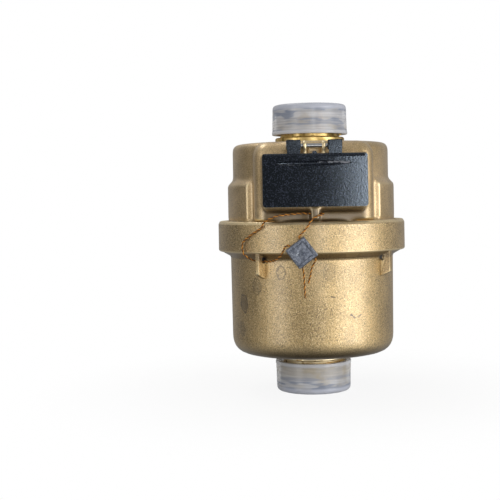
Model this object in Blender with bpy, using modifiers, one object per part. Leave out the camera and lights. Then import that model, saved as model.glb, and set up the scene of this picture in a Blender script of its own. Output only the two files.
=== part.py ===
"""In-line rotary piston water meter with threaded ends, a hinged register lid and a sealed collar.

Sizes are in millimetres. The pipe runs along Z, the lid faces -Y, and the outlet cap stands on z = 0.
"""

import math

import bmesh
import bpy
from mathutils import Matrix, Vector

MM = 0.001
FINE_COUNT = 32
ROUND_COUNT = 20
SMALL_COUNT = 10
GAP = 0.3
FLAT_ANGLE = 0.0005

# Pipe ends: G 3/4 B threads. The heights below add up to 114 mm over the two threaded ends.
THREAD_RADIUS = 13.22
THREAD_CHAMFER = 1.0
BORE_RADIUS = 8.5
NECK_RING_RADIUS = 14.2
NECK_RING_EDGE = 0.4
OUTLET_NECK = 14.2
INLET_NECK = OUTLET_NECK - 0.2
CAP_WALL = 2.05
CAP_END = 1.2
CAP_INNER_RADIUS = THREAD_RADIUS + 0.33
CAP_RADIUS = CAP_INNER_RADIUS + CAP_WALL
CAP_HEIGHT = CAP_END + GAP + OUTLET_NECK - 3.4
CAP_EDGE = 1.8

# Radii from the outside in: cup, collar, head and measuring chamber.
CUP_RADIUS = 33.3
CUP_LOWER_RADIUS = CUP_RADIUS - 0.4
CUP_WALL = 3.8
CUP_BORE = CUP_RADIUS - CUP_WALL
CUP_CORNER = 7.5
CUP_FLOOR_CORNER = 4.0
COLLAR_BORE = CUP_RADIUS + 1.3
COLLAR_WALL = 3.6
COLLAR_RADIUS = COLLAR_BORE + COLLAR_WALL
COLLAR_LIP_RADIUS = COLLAR_RADIUS - 0.6
LUG_RADIUS = COLLAR_RADIUS - 0.7
WIRE_HOLE_AT = CUP_RADIUS + 1.3
SKIRT_RADIUS = COLLAR_BORE - GAP
HEAD_RADIUS = SKIRT_RADIUS - 2.4
PAD_RADIUS = HEAD_RADIUS + 2.2
PAD_HALF_WIDTH = HEAD_RADIUS - 10.0
CHAMBER_CLEARANCE = 2.0
CHAMBER_WALL = 3.0
CHAMBER_RADIUS = CUP_BORE - CHAMBER_CLEARANCE
CHAMBER_BORE = CHAMBER_RADIUS - CHAMBER_WALL
FOOT_RADIUS = CHAMBER_RADIUS - 2.3
FOOT_WALL = 2.9
ECCENTRICITY = CHAMBER_BORE * 8 / 49
ROLLING_GAP = 0.2
PISTON_WALL = 2.0
PISTON_RADIUS = CHAMBER_BORE - ECCENTRICITY - ROLLING_GAP
PISTON_PIN_RADIUS = ECCENTRICITY * 5 / 8
ROLLER_RADIUS = ECCENTRICITY - PISTON_PIN_RADIUS - GAP
HUB_RADIUS = PISTON_RADIUS - PISTON_WALL - ECCENTRICITY - ROLLING_GAP
HUB_INNER_RADIUS = HUB_RADIUS - 1.5
PORT_AT = (HUB_RADIUS + CHAMBER_BORE) / 2 - 1.1
PORT_RADIUS = (CHAMBER_BORE - HUB_RADIUS) / 2 - 1.8
MAGNET_RADIUS = 9.8
MAGNET_BORE = 3.5
PORT_ANGLE = 28.0
PLATE_THICKNESS = 1.6

# Heights from the outlet end up: cup, chamber, rotor space.
OUTLET_FACE = CAP_END + GAP
CUP_BOTTOM = OUTLET_FACE + OUTLET_NECK
CUP_FLOOR = CUP_BOTTOM + 3.8
SEAL_HEIGHT = 1.0
CHAMBER_FLOOR = CUP_FLOOR + 5.5
CHAMBER_HEIGHT = 19.0
CHAMBER_TOP = CHAMBER_FLOOR + CHAMBER_HEIGHT
CHAMBER_LID_BOTTOM = CHAMBER_TOP + GAP
CHAMBER_LID_TOP = CHAMBER_LID_BOTTOM + 2.7
COUPLING_TOP = CHAMBER_LID_TOP + 2.6
WEB_THICKNESS = 1.4
WEB_BOTTOM = CHAMBER_FLOOR + CHAMBER_HEIGHT / 2 - 0.1
WEB_TOP = WEB_BOTTOM + WEB_THICKNESS
ROTOR_SPACE = 19.0
WET_ROOF = CHAMBER_LID_TOP + ROTOR_SPACE

# Collar, screwed joint and sealing lugs.
HEAD_BOTTOM = WET_ROOF + 4.2
COLLAR_TOP = HEAD_BOTTOM - 0.4
COLLAR_HEIGHT = 12.1
COLLAR_BOTTOM = COLLAR_TOP - COLLAR_HEIGHT
COLLAR_LEDGE = COLLAR_BOTTOM + 0.8
GASKET_THICKNESS = 1.2
SKIRT_BOTTOM = COLLAR_LEDGE + GASKET_THICKNESS + 2 * GAP
LUG_ANGLES = (-37.0, 53.0, 143.0, -127.0)
LUG_THICKNESS = 2.2
LUG_HEIGHT = 10.4
LUG_SLOPE = 2.3
LUG_BOTTOM = COLLAR_BOTTOM - LUG_HEIGHT
WIRE_HOLE_RADIUS = 0.9
WIRE_HOLE_HEIGHT = COLLAR_BOTTOM - 3.1

# Register: gear sizes, then places along Y from the meter's axis to the lid.
SHAFT_RADIUS = 0.9
SHAFT_HOLE_RADIUS = SHAFT_RADIUS + GAP
DRUM_RADIUS = 4.4
DRUM_PITCH = 4.2
DRUM_WIDTH = DRUM_PITCH - GAP
DRUM_COUNT = 6
FIRST_DRUM_X = DRUM_PITCH * (DRUM_COUNT - 1) / 2
GEAR_ROOT = 3.5
GEAR_TIP = 4.3
GEAR_WIDTH = 1.1
MESH_WIDTH = GEAR_WIDTH - GAP
DRUM_TEETH = 20
CARRY_ROOT = 1.15
CARRY_TIP = 1.95
CARRY_TEETH = 8
CARRY_DISTANCE = 5.6
IDLER_TEETH = 30
IDLER_ROOT = 5.55
IDLER_TIP = 6.35
WORM_DISTANCE = 5.99
TRAIN_LENGTH = 19.51
TRANSFER_Y = -WORM_DISTANCE
DRUM_Y = TRANSFER_Y - TRAIN_LENGTH
CASE_WALL = 1.0
CASE_FRONT = DRUM_Y - 7.1
BLOCK_FRONT = CASE_FRONT + 1.1
TRAY_FRONT = BLOCK_FRONT - 5.0
POCKET_STEP = DRUM_Y + 15.6
POCKET_BACK = 10.1
SLOT_FRONT = POCKET_BACK + 2.4
SLOT_BACK = HEAD_RADIUS - 5.9
PIN_Y = TRAY_FRONT + 1.5
LID_BACK = TRAY_FRONT - GAP
LID_THICKNESS = 2.5
LID_FRONT = LID_BACK - LID_THICKNESS

# Head casting: heights from the joint up to the inlet end.
PAD_BOTTOM = HEAD_BOTTOM + 0.3
PAD_TOP = PAD_BOTTOM + 13.7
PAD_SLOPE_TOP = PAD_TOP + 2.9
WELL_RADIUS = 9.5
WELL_FLOOR = WET_ROOF + 3.4
TRAY_BOTTOM = HEAD_BOTTOM + 3.6
POCKET_BOTTOM = TRAY_BOTTOM + 3.5
POCKET_HEIGHT = 16.9
POCKET_TOP = POCKET_BOTTOM + POCKET_HEIGHT
POCKET_LOW_TOP = POCKET_TOP - 3.0
TRAY_TOP = POCKET_TOP + 0.8
CHANNEL_BOTTOM = POCKET_LOW_TOP + 1.6
CHANNEL_TOP = CHANNEL_BOTTOM + 5.7
HEAD_TOP = CHANNEL_TOP + 2.5
HEAD_CROWN = HEAD_TOP + 0.5
INLET_FACE = HEAD_CROWN + INLET_NECK
TOTAL_HEIGHT = INLET_FACE + GAP + CAP_END
SHOULDER = 5.0
BLOCK_CORNER = 6.0
TRAY_HALF_WIDTH = DRUM_PITCH * DRUM_COUNT / 2 + 7.3
BLOCK_HALF_WIDTH = TRAY_HALF_WIDTH + 3.4
POCKET_HALF_WIDTH = TRAY_HALF_WIDTH - 1.4
CASE_HALF_WIDTH = POCKET_HALF_WIDTH - GAP
RIB_HALF_WIDTH = 1.75
RIB_HOLE_Y = TRAY_FRONT + 2.0
RIB_HOLE_Z = TRAY_BOTTOM - 1.0
DRUM_Z = POCKET_BOTTOM + 10.1
CARRY_Z = DRUM_Z - CARRY_DISTANCE
TRANSFER_Z = DRUM_Z - 4.4
WINDOW_HALF_HEIGHT = 2.1

# Lid and its hinge.
PIN_Z = HEAD_TOP - 2.2
PIN_RADIUS = 0.8
PIN_HOLE_RADIUS = PIN_RADIUS + GAP
PIN_HALF_LENGTH = 10.8
LID_HALF_WIDTH = TRAY_HALF_WIDTH + 0.05
LID_BOTTOM = TRAY_BOTTOM + 1.7
LID_TOP = TRAY_TOP + 0.8
LID_GROOVE = (-1.0, LID_FRONT - 0.1, LID_TOP - 3.8)
EAR_CENTRE = 3.6
EAR_WIDTH = 2.0
EAR_RADIUS = 2.2
EAR_TURN = (35.0, 205.0)
ARM_CENTRE = 7.9
ARM_WIDTH = 5.5
DIMPLE = 1.1

# Sealing wire, from one free tail to the other, as laid on a collar of this radius and top.
LAID_RADIUS = 38.2
LAID_TOP = 69.8
WIRE_RADIUS = 0.4
WIRE_ROUTE = (
    (-4.4, -35.7, 41.0), (-4.8, -38.2, 48.4), (-5.3, -39.85, 52.3), (-7.45, -39.85, 56.3),
    (-9.6, -39.85, 60.3), (-10.8, -39.4, 61.1), (-12.0, -38.6, 60.1), (-13.2, -37.4, 57.6),
    (-15.1, -34.6, 55.6), (-17.3, -30.6, 54.7), (-19.2, -28.8, 54.6), (-22.4, -26.4, 54.6),
    (-24.4, -26.6, 55.2), (-26.4, -28.0, 56.4), (-27.7, -27.9, 57.9), (-28.1, -27.5, 61.1),
    (-27.3, -28.3, 62.7), (-24.0, -31.0, 65.5), (-20.8, -33.2, 67.7), (-19.9, -33.8, 69.3),
    (-18.3, -34.9, 70.7), (-16.1, -35.9, 71.6), (-13.9, -36.4, 72.3), (-5.7, -35.2, 73.0),
    (-2.4, -34.5, 72.8), (1.4, -34.5, 72.8), (2.9, -35.3, 72.8), (2.7, -37.4, 72.5),
    (0.9, -38.4, 72.0), (-1.2, -39.0, 70.9), (-3.5, -39.2, 67.6), (-5.1, -39.5, 65.8),
    (-6.4, -39.85, 64.2), (-4.9, -39.85, 62.1), (-2.4, -39.85, 58.6), (-0.5, -39.85, 55.9),
    (-0.9, -39.3, 54.4), (-1.9, -38.6, 52.4), (-2.3, -37.6, 49.9), (-3.1, -36.4, 46.4),
)
FIRST_STRAIGHT = (2, 4)
SECOND_STRAIGHT = (32, 35)
WIRE_STEP = 2.5
SEAL_CENTRE = (-5.6, -39.9, 58.3)
SEAL_SIDE = 9.0
SEAL_THICKNESS = 3.2
SEAL_BORDER = 1.6
SEAL_TILT = -36.9


def workshop():
    found = bpy.data.collections.get("cutters")
    if found:
        return found
    made = bpy.data.collections.new("cutters")
    made.hide_render = True
    bpy.context.scene.collection.children.link(made)
    return made


def shape(mesh_data):
    """A working object, kept with the cutters until it becomes a part."""
    obj = bpy.data.objects.new("work", mesh_data)
    obj.display_type = "WIRE"
    obj.hide_render = True
    workshop().objects.link(obj)
    return obj


def from_bmesh(bm):
    bmesh.ops.recalc_face_normals(bm, faces=bm.faces)
    data = bpy.data.meshes.new("work")
    bm.to_mesh(data)
    bm.free()
    return shape(data)


def evaluated(obj):
    """The object's mesh with its modifiers applied, welded and facing out."""
    bpy.context.view_layer.update()
    graph = bpy.context.evaluated_depsgraph_get()
    data = bpy.data.meshes.new_from_object(obj.evaluated_get(graph))
    bm = bmesh.new()
    bm.from_mesh(data)
    bmesh.ops.remove_doubles(bm, verts=bm.verts, dist=1e-4)
    bmesh.ops.dissolve_limit(bm, angle_limit=FLAT_ANGLE, verts=bm.verts, edges=bm.edges)
    bmesh.ops.recalc_face_normals(bm, faces=bm.faces)
    bm.to_mesh(data)
    bm.free()
    return data


def apply_all(obj):
    data = evaluated(obj)
    obj.modifiers.clear()
    obj.data = data
    return obj


def boolean(obj, operation, others):
    for other in others:
        step = obj.modifiers.new("boolean", "BOOLEAN")
        step.operation = operation
        step.solver = "EXACT"
        step.object = other
    apply_all(obj)
    for other in others:
        bpy.data.objects.remove(other)
    return obj


def join(obj, *others):
    return boolean(obj, "UNION", others)


def cut(obj, *others):
    return boolean(obj, "DIFFERENCE", others)


def turned(profile, steps=ROUND_COUNT):
    """A solid of revolution about Z; the profile is a closed loop of (radius, height)."""
    bm = bmesh.new()
    points = [bm.verts.new((radius, 0.0, height)) for radius, height in profile]
    for index, point in enumerate(points):
        following = points[(index + 1) % len(points)]
        on_axis = point.co.x < 1e-6 and following.co.x < 1e-6
        if not on_axis:
            bm.edges.new((point, following))
    obj = from_bmesh(bm)
    screw = obj.modifiers.new("turn", "SCREW")
    screw.steps = steps
    screw.render_steps = steps
    screw.use_merge_vertices = True
    screw.merge_threshold = 0.0001
    return apply_all(obj)


def ring(inner, outer, bottom, top, steps=ROUND_COUNT):
    return turned([(outer, top), (outer, bottom), (inner, bottom), (inner, top)], steps)


def disc(radius, bottom, top, steps=ROUND_COUNT):
    return turned([(0.0, top), (radius, top), (radius, bottom), (0.0, bottom)], steps)


def arc(centre, radius, first, last, count):
    """Points of a rounded corner in a profile, angles in degrees from +radius toward +height."""
    angles = [math.radians(first + (last - first) * n / count) for n in range(count + 1)]
    return [(centre[0] + radius * math.cos(a), centre[1] + radius * math.sin(a)) for a in angles]


def moved(obj, matrix):
    obj.data.transform(matrix)
    return obj


def box(low, high, edge=0.0, segments=2):
    bm = bmesh.new()
    size = Vector(high) - Vector(low)
    middle = (Vector(high) + Vector(low)) / 2
    bmesh.ops.create_cube(bm, size=1.0, matrix=Matrix.Translation(middle) @ Matrix.Diagonal((*size, 1.0)))
    if edge:
        bmesh.ops.bevel(
            bm, geom=list(bm.edges), offset=edge, segments=segments, affect="EDGES", profile=0.5
        )
    return from_bmesh(bm)


def rounded_box(low, high, corner, segments, rounded):
    """A box whose edges that the test picks are rounded; the test gets an edge's middle and direction."""
    bm = bmesh.new()
    size = Vector(high) - Vector(low)
    middle = (Vector(high) + Vector(low)) / 2
    bmesh.ops.create_cube(bm, size=1.0, matrix=Matrix.Translation(middle) @ Matrix.Diagonal((*size, 1.0)))
    picked = []
    for edge in bm.edges:
        centre = (edge.verts[0].co + edge.verts[1].co) / 2 - middle
        along = (edge.verts[0].co - edge.verts[1].co).normalized()
        if rounded(centre, along):
            picked.append(edge)
    bmesh.ops.bevel(bm, geom=picked, offset=corner, segments=segments, affect="EDGES", profile=0.5)
    return from_bmesh(bm)


def rod(radius, start, end, sides=SMALL_COUNT):
    bm = bmesh.new()
    start = Vector(start)
    end = Vector(end)
    along = end - start
    turn = along.to_track_quat("Z", "Y").to_matrix().to_4x4()
    place = Matrix.Translation((start + end) / 2) @ turn
    bmesh.ops.create_cone(
        bm, cap_ends=True, segments=sides, radius1=radius, radius2=radius, depth=along.length, matrix=place
    )
    return from_bmesh(bm)


def flat(outlines, thickness):
    """A plate in XY, centred on z = 0, from closed outlines; the later ones are holes."""
    curve = bpy.data.curves.new("outline", "CURVE")
    curve.dimensions = "2D"
    curve.fill_mode = "BOTH"
    curve.extrude = thickness / 2
    for outline in outlines:
        spline = curve.splines.new("POLY")
        spline.points.add(len(outline) - 1)
        spline.use_cyclic_u = True
        for point, (x, y) in zip(spline.points, outline):
            point.co = (x, y, 0.0, 1.0)
    source = bpy.data.objects.new("outline", curve)
    workshop().objects.link(source)
    obj = shape(evaluated(source))
    bpy.data.objects.remove(source)
    return obj


def circle(radius, count, phase=0.0):
    angles = [2 * math.pi * (n + phase) / count for n in range(count)]
    return [(radius * math.cos(a), radius * math.sin(a)) for a in angles]


def toothed(teeth, root, tip, phase):
    """A gear outline with pointed teeth; the phase, in teeth, turns it."""
    points = []
    for n in range(teeth):
        for part, radius in ((0.0, tip), (0.5, root)):
            angle = 2 * math.pi * (n + phase + part) / teeth
            points.append((radius * math.cos(angle), radius * math.sin(angle)))
    return points


def along_x(obj, x, y, z):
    """Turns a plate from XY to stand across the X axis: its X goes to +Y and its Y to +Z."""
    stand = Matrix(((0, 0, 1, x), (1, 0, 0, y), (0, 1, 0, z), (0, 0, 0, 1)))
    return moved(obj, stand)


def wedge_lug(angle):
    """One collar lug: a radial rib with a slanted lower end and a hole for the sealing wire."""
    root = CUP_LOWER_RADIUS - 1.5
    corner = LUG_BOTTOM + LUG_SLOPE
    outline = [
        (root, COLLAR_BOTTOM + 1.0), (LUG_RADIUS, COLLAR_BOTTOM + 1.0), (LUG_RADIUS, corner + 0.7),
        (LUG_RADIUS - 0.6, corner), (CUP_LOWER_RADIUS + 0.5, LUG_BOTTOM), (root, LUG_BOTTOM),
    ]
    rib = flat([outline], LUG_THICKNESS)
    stand = Matrix(((1, 0, 0, 0), (0, 0, -1, 0), (0, 1, 0, 0), (0, 0, 0, 1)))
    moved(rib, stand)
    turn = Matrix.Rotation(math.radians(angle - 90.0), 4, "Z")
    return moved(rib, turn)


def lug_hole(angle):
    half = LUG_THICKNESS
    ends = ((WIRE_HOLE_AT, -half, WIRE_HOLE_HEIGHT), (WIRE_HOLE_AT, half, WIRE_HOLE_HEIGHT))
    hole = rod(WIRE_HOLE_RADIUS, *ends, 12)
    return moved(hole, Matrix.Rotation(math.radians(angle - 90.0), 4, "Z"))


def smooth_path(points, step):
    """Evenly spaced points on a smooth curve through the given ones."""
    path = [Vector(p) for p in points]
    fine = []
    for index in range(len(path) - 1):
        before = path[max(index - 1, 0)]
        here = path[index]
        there = path[index + 1]
        after = path[min(index + 2, len(path) - 1)]
        for part in range(20):
            t = part / 20
            a = 2 * here
            b = (there - before) * t
            c = (2 * before - 5 * here + 4 * there - after) * t * t
            d = (3 * here - before - 3 * there + after) * t ** 3
            fine.append((a + b + c + d) / 2)
    fine.append(path[-1])
    total = sum((fine[n + 1] - fine[n]).length for n in range(len(fine) - 1))
    count = round(total / step)
    spaced = [fine[0]]
    walked = 0.0
    for n in range(len(fine) - 1):
        length = (fine[n + 1] - fine[n]).length
        while len(spaced) < count and walked + length >= total * len(spaced) / count:
            part = (total * len(spaced) / count - walked) / length
            spaced.append(fine[n].lerp(fine[n + 1], part))
        walked += length
    spaced.append(fine[-1])
    return spaced


def wire_tube(points, radius, resolution=1):
    curve = bpy.data.curves.new("wire", "CURVE")
    curve.dimensions = "3D"
    curve.bevel_depth = radius
    curve.bevel_resolution = resolution
    curve.use_fill_caps = True
    spline = curve.splines.new("POLY")
    spline.points.add(len(points) - 1)
    for point, place in zip(spline.points, points):
        point.co = (*place, 1.0)
    source = bpy.data.objects.new("wire", curve)
    workshop().objects.link(source)
    obj = shape(evaluated(source))
    bpy.data.objects.remove(source)
    return obj


def material(name, colour, metallic, roughness, alpha=1.0):
    made = bpy.data.materials.new(name)
    made.use_nodes = True
    shader = made.node_tree.nodes["Principled BSDF"]
    shader.inputs["Base Color"].default_value = (*colour, 1.0)
    shader.inputs["Metallic"].default_value = metallic
    shader.inputs["Roughness"].default_value = roughness
    shader.inputs["Alpha"].default_value = alpha
    return made


LOOKS = {
    "cast_brass": ((0.52, 0.38, 0.19), 0.85, 0.45),
    "black_plastic": ((0.02, 0.022, 0.027), 0.0, 0.4),
    "clear_plastic": ((0.8, 0.82, 0.84), 0.0, 0.35, 0.5),
    "grey_plastic": ((0.5, 0.5, 0.5), 0.0, 0.5),
    "white_plastic": ((0.85, 0.85, 0.82), 0.0, 0.5),
    "glass": ((0.9, 0.95, 0.95), 0.0, 0.05, 0.3),
    "steel": ((0.6, 0.6, 0.6), 1.0, 0.3),
    "rubber": ((0.02, 0.02, 0.02), 0.0, 0.8),
    "lead": ((0.25, 0.27, 0.3), 0.7, 0.5),
    "copper": ((0.6, 0.3, 0.12), 0.9, 0.4),
    "magnet": ((0.08, 0.08, 0.09), 0.3, 0.6),
}


def part(name, obj, look, origin=(0.0, 0.0, 0.0), rounded=False):
    """Makes the working object a part in metres, with its origin on its own axis."""
    obj.name = name
    obj.data.name = name
    obj.display_type = "TEXTURED"
    obj.hide_render = False
    workshop().objects.unlink(obj)
    bpy.data.collections["water_meter"].objects.link(obj)
    obj.data.transform(Matrix.Scale(MM, 4) @ Matrix.Translation(-Vector(origin)))
    obj.location = Vector(origin) * MM
    obj.data.materials.clear()
    obj.data.materials.append(material(name, *LOOKS[look]))
    if rounded:
        obj.data.shade_smooth()
        obj.data.set_sharp_from_angle(angle=math.radians(30))
    return obj


def pipe_end(face, root, side):
    """The machined ring and the thread's crest radius; the side is 1 where the end points up."""
    rim = root - side * 0.1
    return [
        (NECK_RING_RADIUS, rim - side * NECK_RING_EDGE), (NECK_RING_RADIUS - NECK_RING_EDGE, rim),
        (THREAD_RADIUS, root), (THREAD_RADIUS, face - side * THREAD_CHAMFER),
        (THREAD_RADIUS - THREAD_CHAMFER, face),
    ]


def make_cup():
    cup_side = [(COLLAR_BORE + 0.2, COLLAR_TOP), (COLLAR_LIP_RADIUS - 0.5, COLLAR_TOP)]
    cup_side += [(COLLAR_LIP_RADIUS, COLLAR_TOP - 0.7), (COLLAR_RADIUS - 0.2, COLLAR_TOP - 1.2)]
    cup_side += [(COLLAR_RADIUS, COLLAR_TOP - 1.9)]
    cup_side += arc((COLLAR_RADIUS - 1.0, COLLAR_BOTTOM + 1.0), 1.0, 0.0, -80.0, 2)
    cup_side += [(CUP_RADIUS + 0.7, COLLAR_BOTTOM - 1.7), (CUP_RADIUS, COLLAR_BOTTOM - 2.7)]
    corner = (CUP_LOWER_RADIUS - CUP_CORNER, CUP_BOTTOM + 0.2 + CUP_CORNER)
    cup_side += arc(corner, CUP_CORNER, 0.0, -90.0, 6)
    neck = [(NECK_RING_RADIUS + 0.6, CUP_BOTTOM), (NECK_RING_RADIUS, CUP_BOTTOM - 0.4)]
    neck += pipe_end(OUTLET_FACE, CUP_BOTTOM - 2.7, -1)
    bore = [(BORE_RADIUS, OUTLET_FACE), (BORE_RADIUS, CUP_FLOOR - 2.0), (BORE_RADIUS + 2.0, CUP_FLOOR)]
    inner = arc(
        (CUP_BORE - CUP_FLOOR_CORNER, CUP_FLOOR + CUP_FLOOR_CORNER), CUP_FLOOR_CORNER, -90.0, 0.0, 2
    )
    ledge = [(CUP_BORE, COLLAR_LEDGE), (COLLAR_BORE, COLLAR_LEDGE), (COLLAR_BORE, COLLAR_TOP - 0.2)]
    body = turned(cup_side + neck + bore + inner + ledge, FINE_COUNT)
    join(body, *[wedge_lug(angle) for angle in LUG_ANGLES])
    cut(body, *[lug_hole(angle) for angle in LUG_ANGLES])
    part("cup_body", body, "cast_brass", rounded=True)


def pin_ear(centre):
    """One of the two lugs that hold the hinge pin, rounded over the pin."""
    back = BLOCK_FRONT + 3.0
    outline = [(PIN_Y - 1.4, TRAY_TOP - 1.5), (back, TRAY_TOP - 1.5), (back, PIN_Z - 1.0)]
    outline += arc((PIN_Y, PIN_Z), EAR_RADIUS, *EAR_TURN, 7)
    return along_x(flat([outline], EAR_WIDTH), centre, 0.0, 0.0)


def make_pads():
    """Two flat-sided wrench pads whose upper ends slope into the head."""
    root = HEAD_RADIUS - 6.9
    outline = [
        (root, PAD_BOTTOM), (PAD_RADIUS, PAD_BOTTOM), (PAD_RADIUS, PAD_TOP),
        (HEAD_RADIUS - 0.6, PAD_SLOPE_TOP), (root, PAD_SLOPE_TOP),
    ]
    pads = turned(outline, FINE_COUNT)
    reach = PAD_RADIUS + 1.0
    front = box((-reach, -reach, HEAD_BOTTOM - 1), (reach, -PAD_HALF_WIDTH, PAD_SLOPE_TOP + 1))
    back = box((-reach, PAD_HALF_WIDTH, HEAD_BOTTOM - 1), (reach, reach, PAD_SLOPE_TOP + 1))
    return cut(pads, front, back)


def make_head():
    profile = [(0.0, HEAD_CROWN), (NECK_RING_RADIUS + 0.4, HEAD_CROWN)]
    profile += [(HEAD_RADIUS - SHOULDER - 2.0, HEAD_TOP + 0.1)]
    profile += arc((HEAD_RADIUS - SHOULDER, HEAD_TOP - SHOULDER), SHOULDER, 88.0, 4.0, 6)
    profile += [(HEAD_RADIUS, HEAD_BOTTOM - 0.2), (SKIRT_RADIUS, HEAD_BOTTOM - 0.7)]
    profile += [(SKIRT_RADIUS, SKIRT_BOTTOM)]
    profile += [(CUP_BORE, SKIRT_BOTTOM), (CUP_BORE, WET_ROOF), (0.0, WET_ROOF)]
    body = turned(profile, FINE_COUNT)

    def block_edges(centre, along):
        return abs(along.z) > 0.9 and centre.y < 0

    low = (-BLOCK_HALF_WIDTH, BLOCK_FRONT, HEAD_BOTTOM)
    high = (BLOCK_HALF_WIDTH, 0.0, HEAD_TOP - 0.15)
    block = rounded_box(low, high, BLOCK_CORNER, 5, block_edges)
    top_edges = block.modifiers.new("shoulder", "BEVEL")
    top_edges.limit_method = "ANGLE"
    top_edges.angle_limit = math.radians(60)
    top_edges.width = SHOULDER
    top_edges.segments = 5
    round_top(block, top_edges)

    def tray_edges(centre, along):
        upright = abs(along.y) > 0.9 and centre.z < 0
        under = abs(along.x) > 0.9 and centre.y < 0 and centre.z < 0
        return upright or under

    tray = rounded_box(
        (-TRAY_HALF_WIDTH, TRAY_FRONT, TRAY_BOTTOM), (TRAY_HALF_WIDTH, DRUM_Y + 1.5, TRAY_TOP),
        2.6, 3, tray_edges,
    )
    rib_low = (-RIB_HALF_WIDTH, TRAY_FRONT - 0.4, HEAD_BOTTOM + 0.2)
    rib = box(rib_low, (RIB_HALF_WIDTH, BLOCK_FRONT + 3.5, TRAY_BOTTOM + 1.4), 0.3, 1)
    ears = [pin_ear(-EAR_CENTRE), pin_ear(EAR_CENTRE)]
    outside = pipe_end(INLET_FACE, HEAD_CROWN + 2.4, 1)
    low = HEAD_TOP - 1.0
    neck = turned([(NECK_RING_RADIUS, low), *outside, (0.0, INLET_FACE), (0.0, low)], FINE_COUNT)
    front_low = (-HEAD_RADIUS, -2 * HEAD_RADIUS, HEAD_BOTTOM)
    front = box(front_low, (HEAD_RADIUS, BLOCK_FRONT, HEAD_CROWN + 1.0))
    cut(body, front)
    join(body, block)
    join(body, make_pads())
    join(body, tray)
    join(body, rib, *ears, neck)

    inlet = disc(BORE_RADIUS, CHANNEL_BOTTOM - 0.4, INLET_FACE + 1.0)
    channel = box((-9.0, 0.0, CHANNEL_BOTTOM), (9.0, 20.0, CHANNEL_TOP))
    slot = box((-12.0, SLOT_FRONT, WET_ROOF - 1.0), (12.0, SLOT_BACK, CHANNEL_TOP + 0.4))
    well = disc(WELL_RADIUS, WELL_FLOOR, POCKET_BOTTOM + 1.0)
    wet_pivot = disc(1.3, WET_ROOF - 1.0, WET_ROOF + 1.0, SMALL_COUNT)
    dry_pivot = disc(1.0, WELL_FLOOR - 1.0, WELL_FLOOR + 1.0, SMALL_COUNT)
    cut(body, inlet, channel)
    cut(body, slot)
    cut(body, stepped_block(0.0, TRAY_FRONT - 1.0))
    cut(body, well, wet_pivot)
    cut(body, dry_pivot)
    pin_end = EAR_CENTRE + EAR_WIDTH
    pin_hole = rod(PIN_HOLE_RADIUS, (-pin_end, PIN_Y, PIN_Z), (pin_end, PIN_Y, PIN_Z))
    rib_hole = rod(2 * WIRE_RADIUS, (-4.0, RIB_HOLE_Y, RIB_HOLE_Z), (4.0, RIB_HOLE_Y, RIB_HOLE_Z), 12)
    cut(body, pin_hole, rib_hole)
    part("head_body", body, "cast_brass", rounded=True)


def round_top(block, bevel):
    """Rounds only the block's upper front and side edges, by a weight on them."""
    data = block.data
    weights = data.attributes.new("bevel_weight_edge", "FLOAT", "EDGE")
    top = max(v.co.z for v in data.vertices)
    for edge in data.edges:
        ends = [data.vertices[index].co for index in edge.vertices]
        on_top = all(abs(end.z - top) < 1e-3 for end in ends)
        at_back = all(abs(end.y) < 1e-3 for end in ends)
        weights.data[edge.index].value = 1.0 if on_top and not at_back else 0.0
    bevel.limit_method = "WEIGHT"
    apply_all(block)


def make_lid():
    def corners(centre, along):
        return abs(along.y) > 0.9

    plate = rounded_box(
        (-LID_HALF_WIDTH, LID_FRONT, LID_BOTTOM), (LID_HALF_WIDTH, LID_BACK, LID_TOP), 1.2, 2, corners
    )
    soften = plate.modifiers.new("soften", "BEVEL")
    soften.limit_method = "ANGLE"
    soften.angle_limit = math.radians(60)
    soften.width = 0.5
    soften.segments = 2
    apply_all(plate)
    arms = []
    for centre in (-ARM_CENTRE, ARM_CENTRE):
        left = centre - ARM_WIDTH / 2
        right = centre + ARM_WIDTH / 2
        low = (left + 0.2, LID_FRONT + 0.8, LID_TOP - 1.5)
        arms.append(box(low, (right - 0.2, LID_BACK - 0.1, PIN_Z)))
        arms.append(box((left, PIN_Y - 2.6, PIN_Z - 1.7), (right, PIN_Y + 2.2, PIN_Z + 2.2), 0.35, 1))
    nub = rod(0.9, (0.0, LID_FRONT + 0.9, LID_TOP), (0.0, LID_BACK - 0.3, LID_TOP), 12)
    join(plate, *arms, nub)
    bm = bmesh.new()
    shape_of_groove = Matrix.Translation(LID_GROOVE) @ Matrix.Diagonal((15.2, 0.8, 0.95, 1.0))
    bmesh.ops.create_uvsphere(bm, u_segments=20, v_segments=6, radius=1.0, matrix=shape_of_groove)
    pin_hole = rod(PIN_HOLE_RADIUS, (-LID_HALF_WIDTH, PIN_Y, PIN_Z), (LID_HALF_WIDTH, PIN_Y, PIN_Z))
    cuts = [from_bmesh(bm), pin_hole]
    for centre in (-ARM_CENTRE, ARM_CENTRE):
        low = (centre - DIMPLE / 2, PIN_Y - 3.0, PIN_Z + 0.2)
        cuts.append(box(low, (centre + DIMPLE / 2, PIN_Y - 2.3, PIN_Z + 0.2 + DIMPLE)))
    cut(plate, *cuts)
    part("lid", plate, "black_plastic", (0.0, PIN_Y, PIN_Z))


def make_caps():
    for name, base, face in (("outlet_cap", 0.0, 1), ("inlet_cap", TOTAL_HEIGHT, -1)):
        profile = [(0.0, CAP_END), (CAP_INNER_RADIUS, CAP_END), (CAP_INNER_RADIUS, CAP_HEIGHT)]
        profile += [(CAP_RADIUS - 0.4, CAP_HEIGHT), (CAP_RADIUS, CAP_HEIGHT - 0.5)]
        profile += arc((CAP_RADIUS - CAP_EDGE - 0.1, CAP_EDGE), CAP_EDGE, 0.0, -90.0, 3)
        profile += [(0.0, 0.0)]
        cap = turned([(radius, base + face * height) for radius, height in profile], FINE_COUNT)
        part(name, cap, "clear_plastic", (0.0, 0.0, base), rounded=True)


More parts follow.
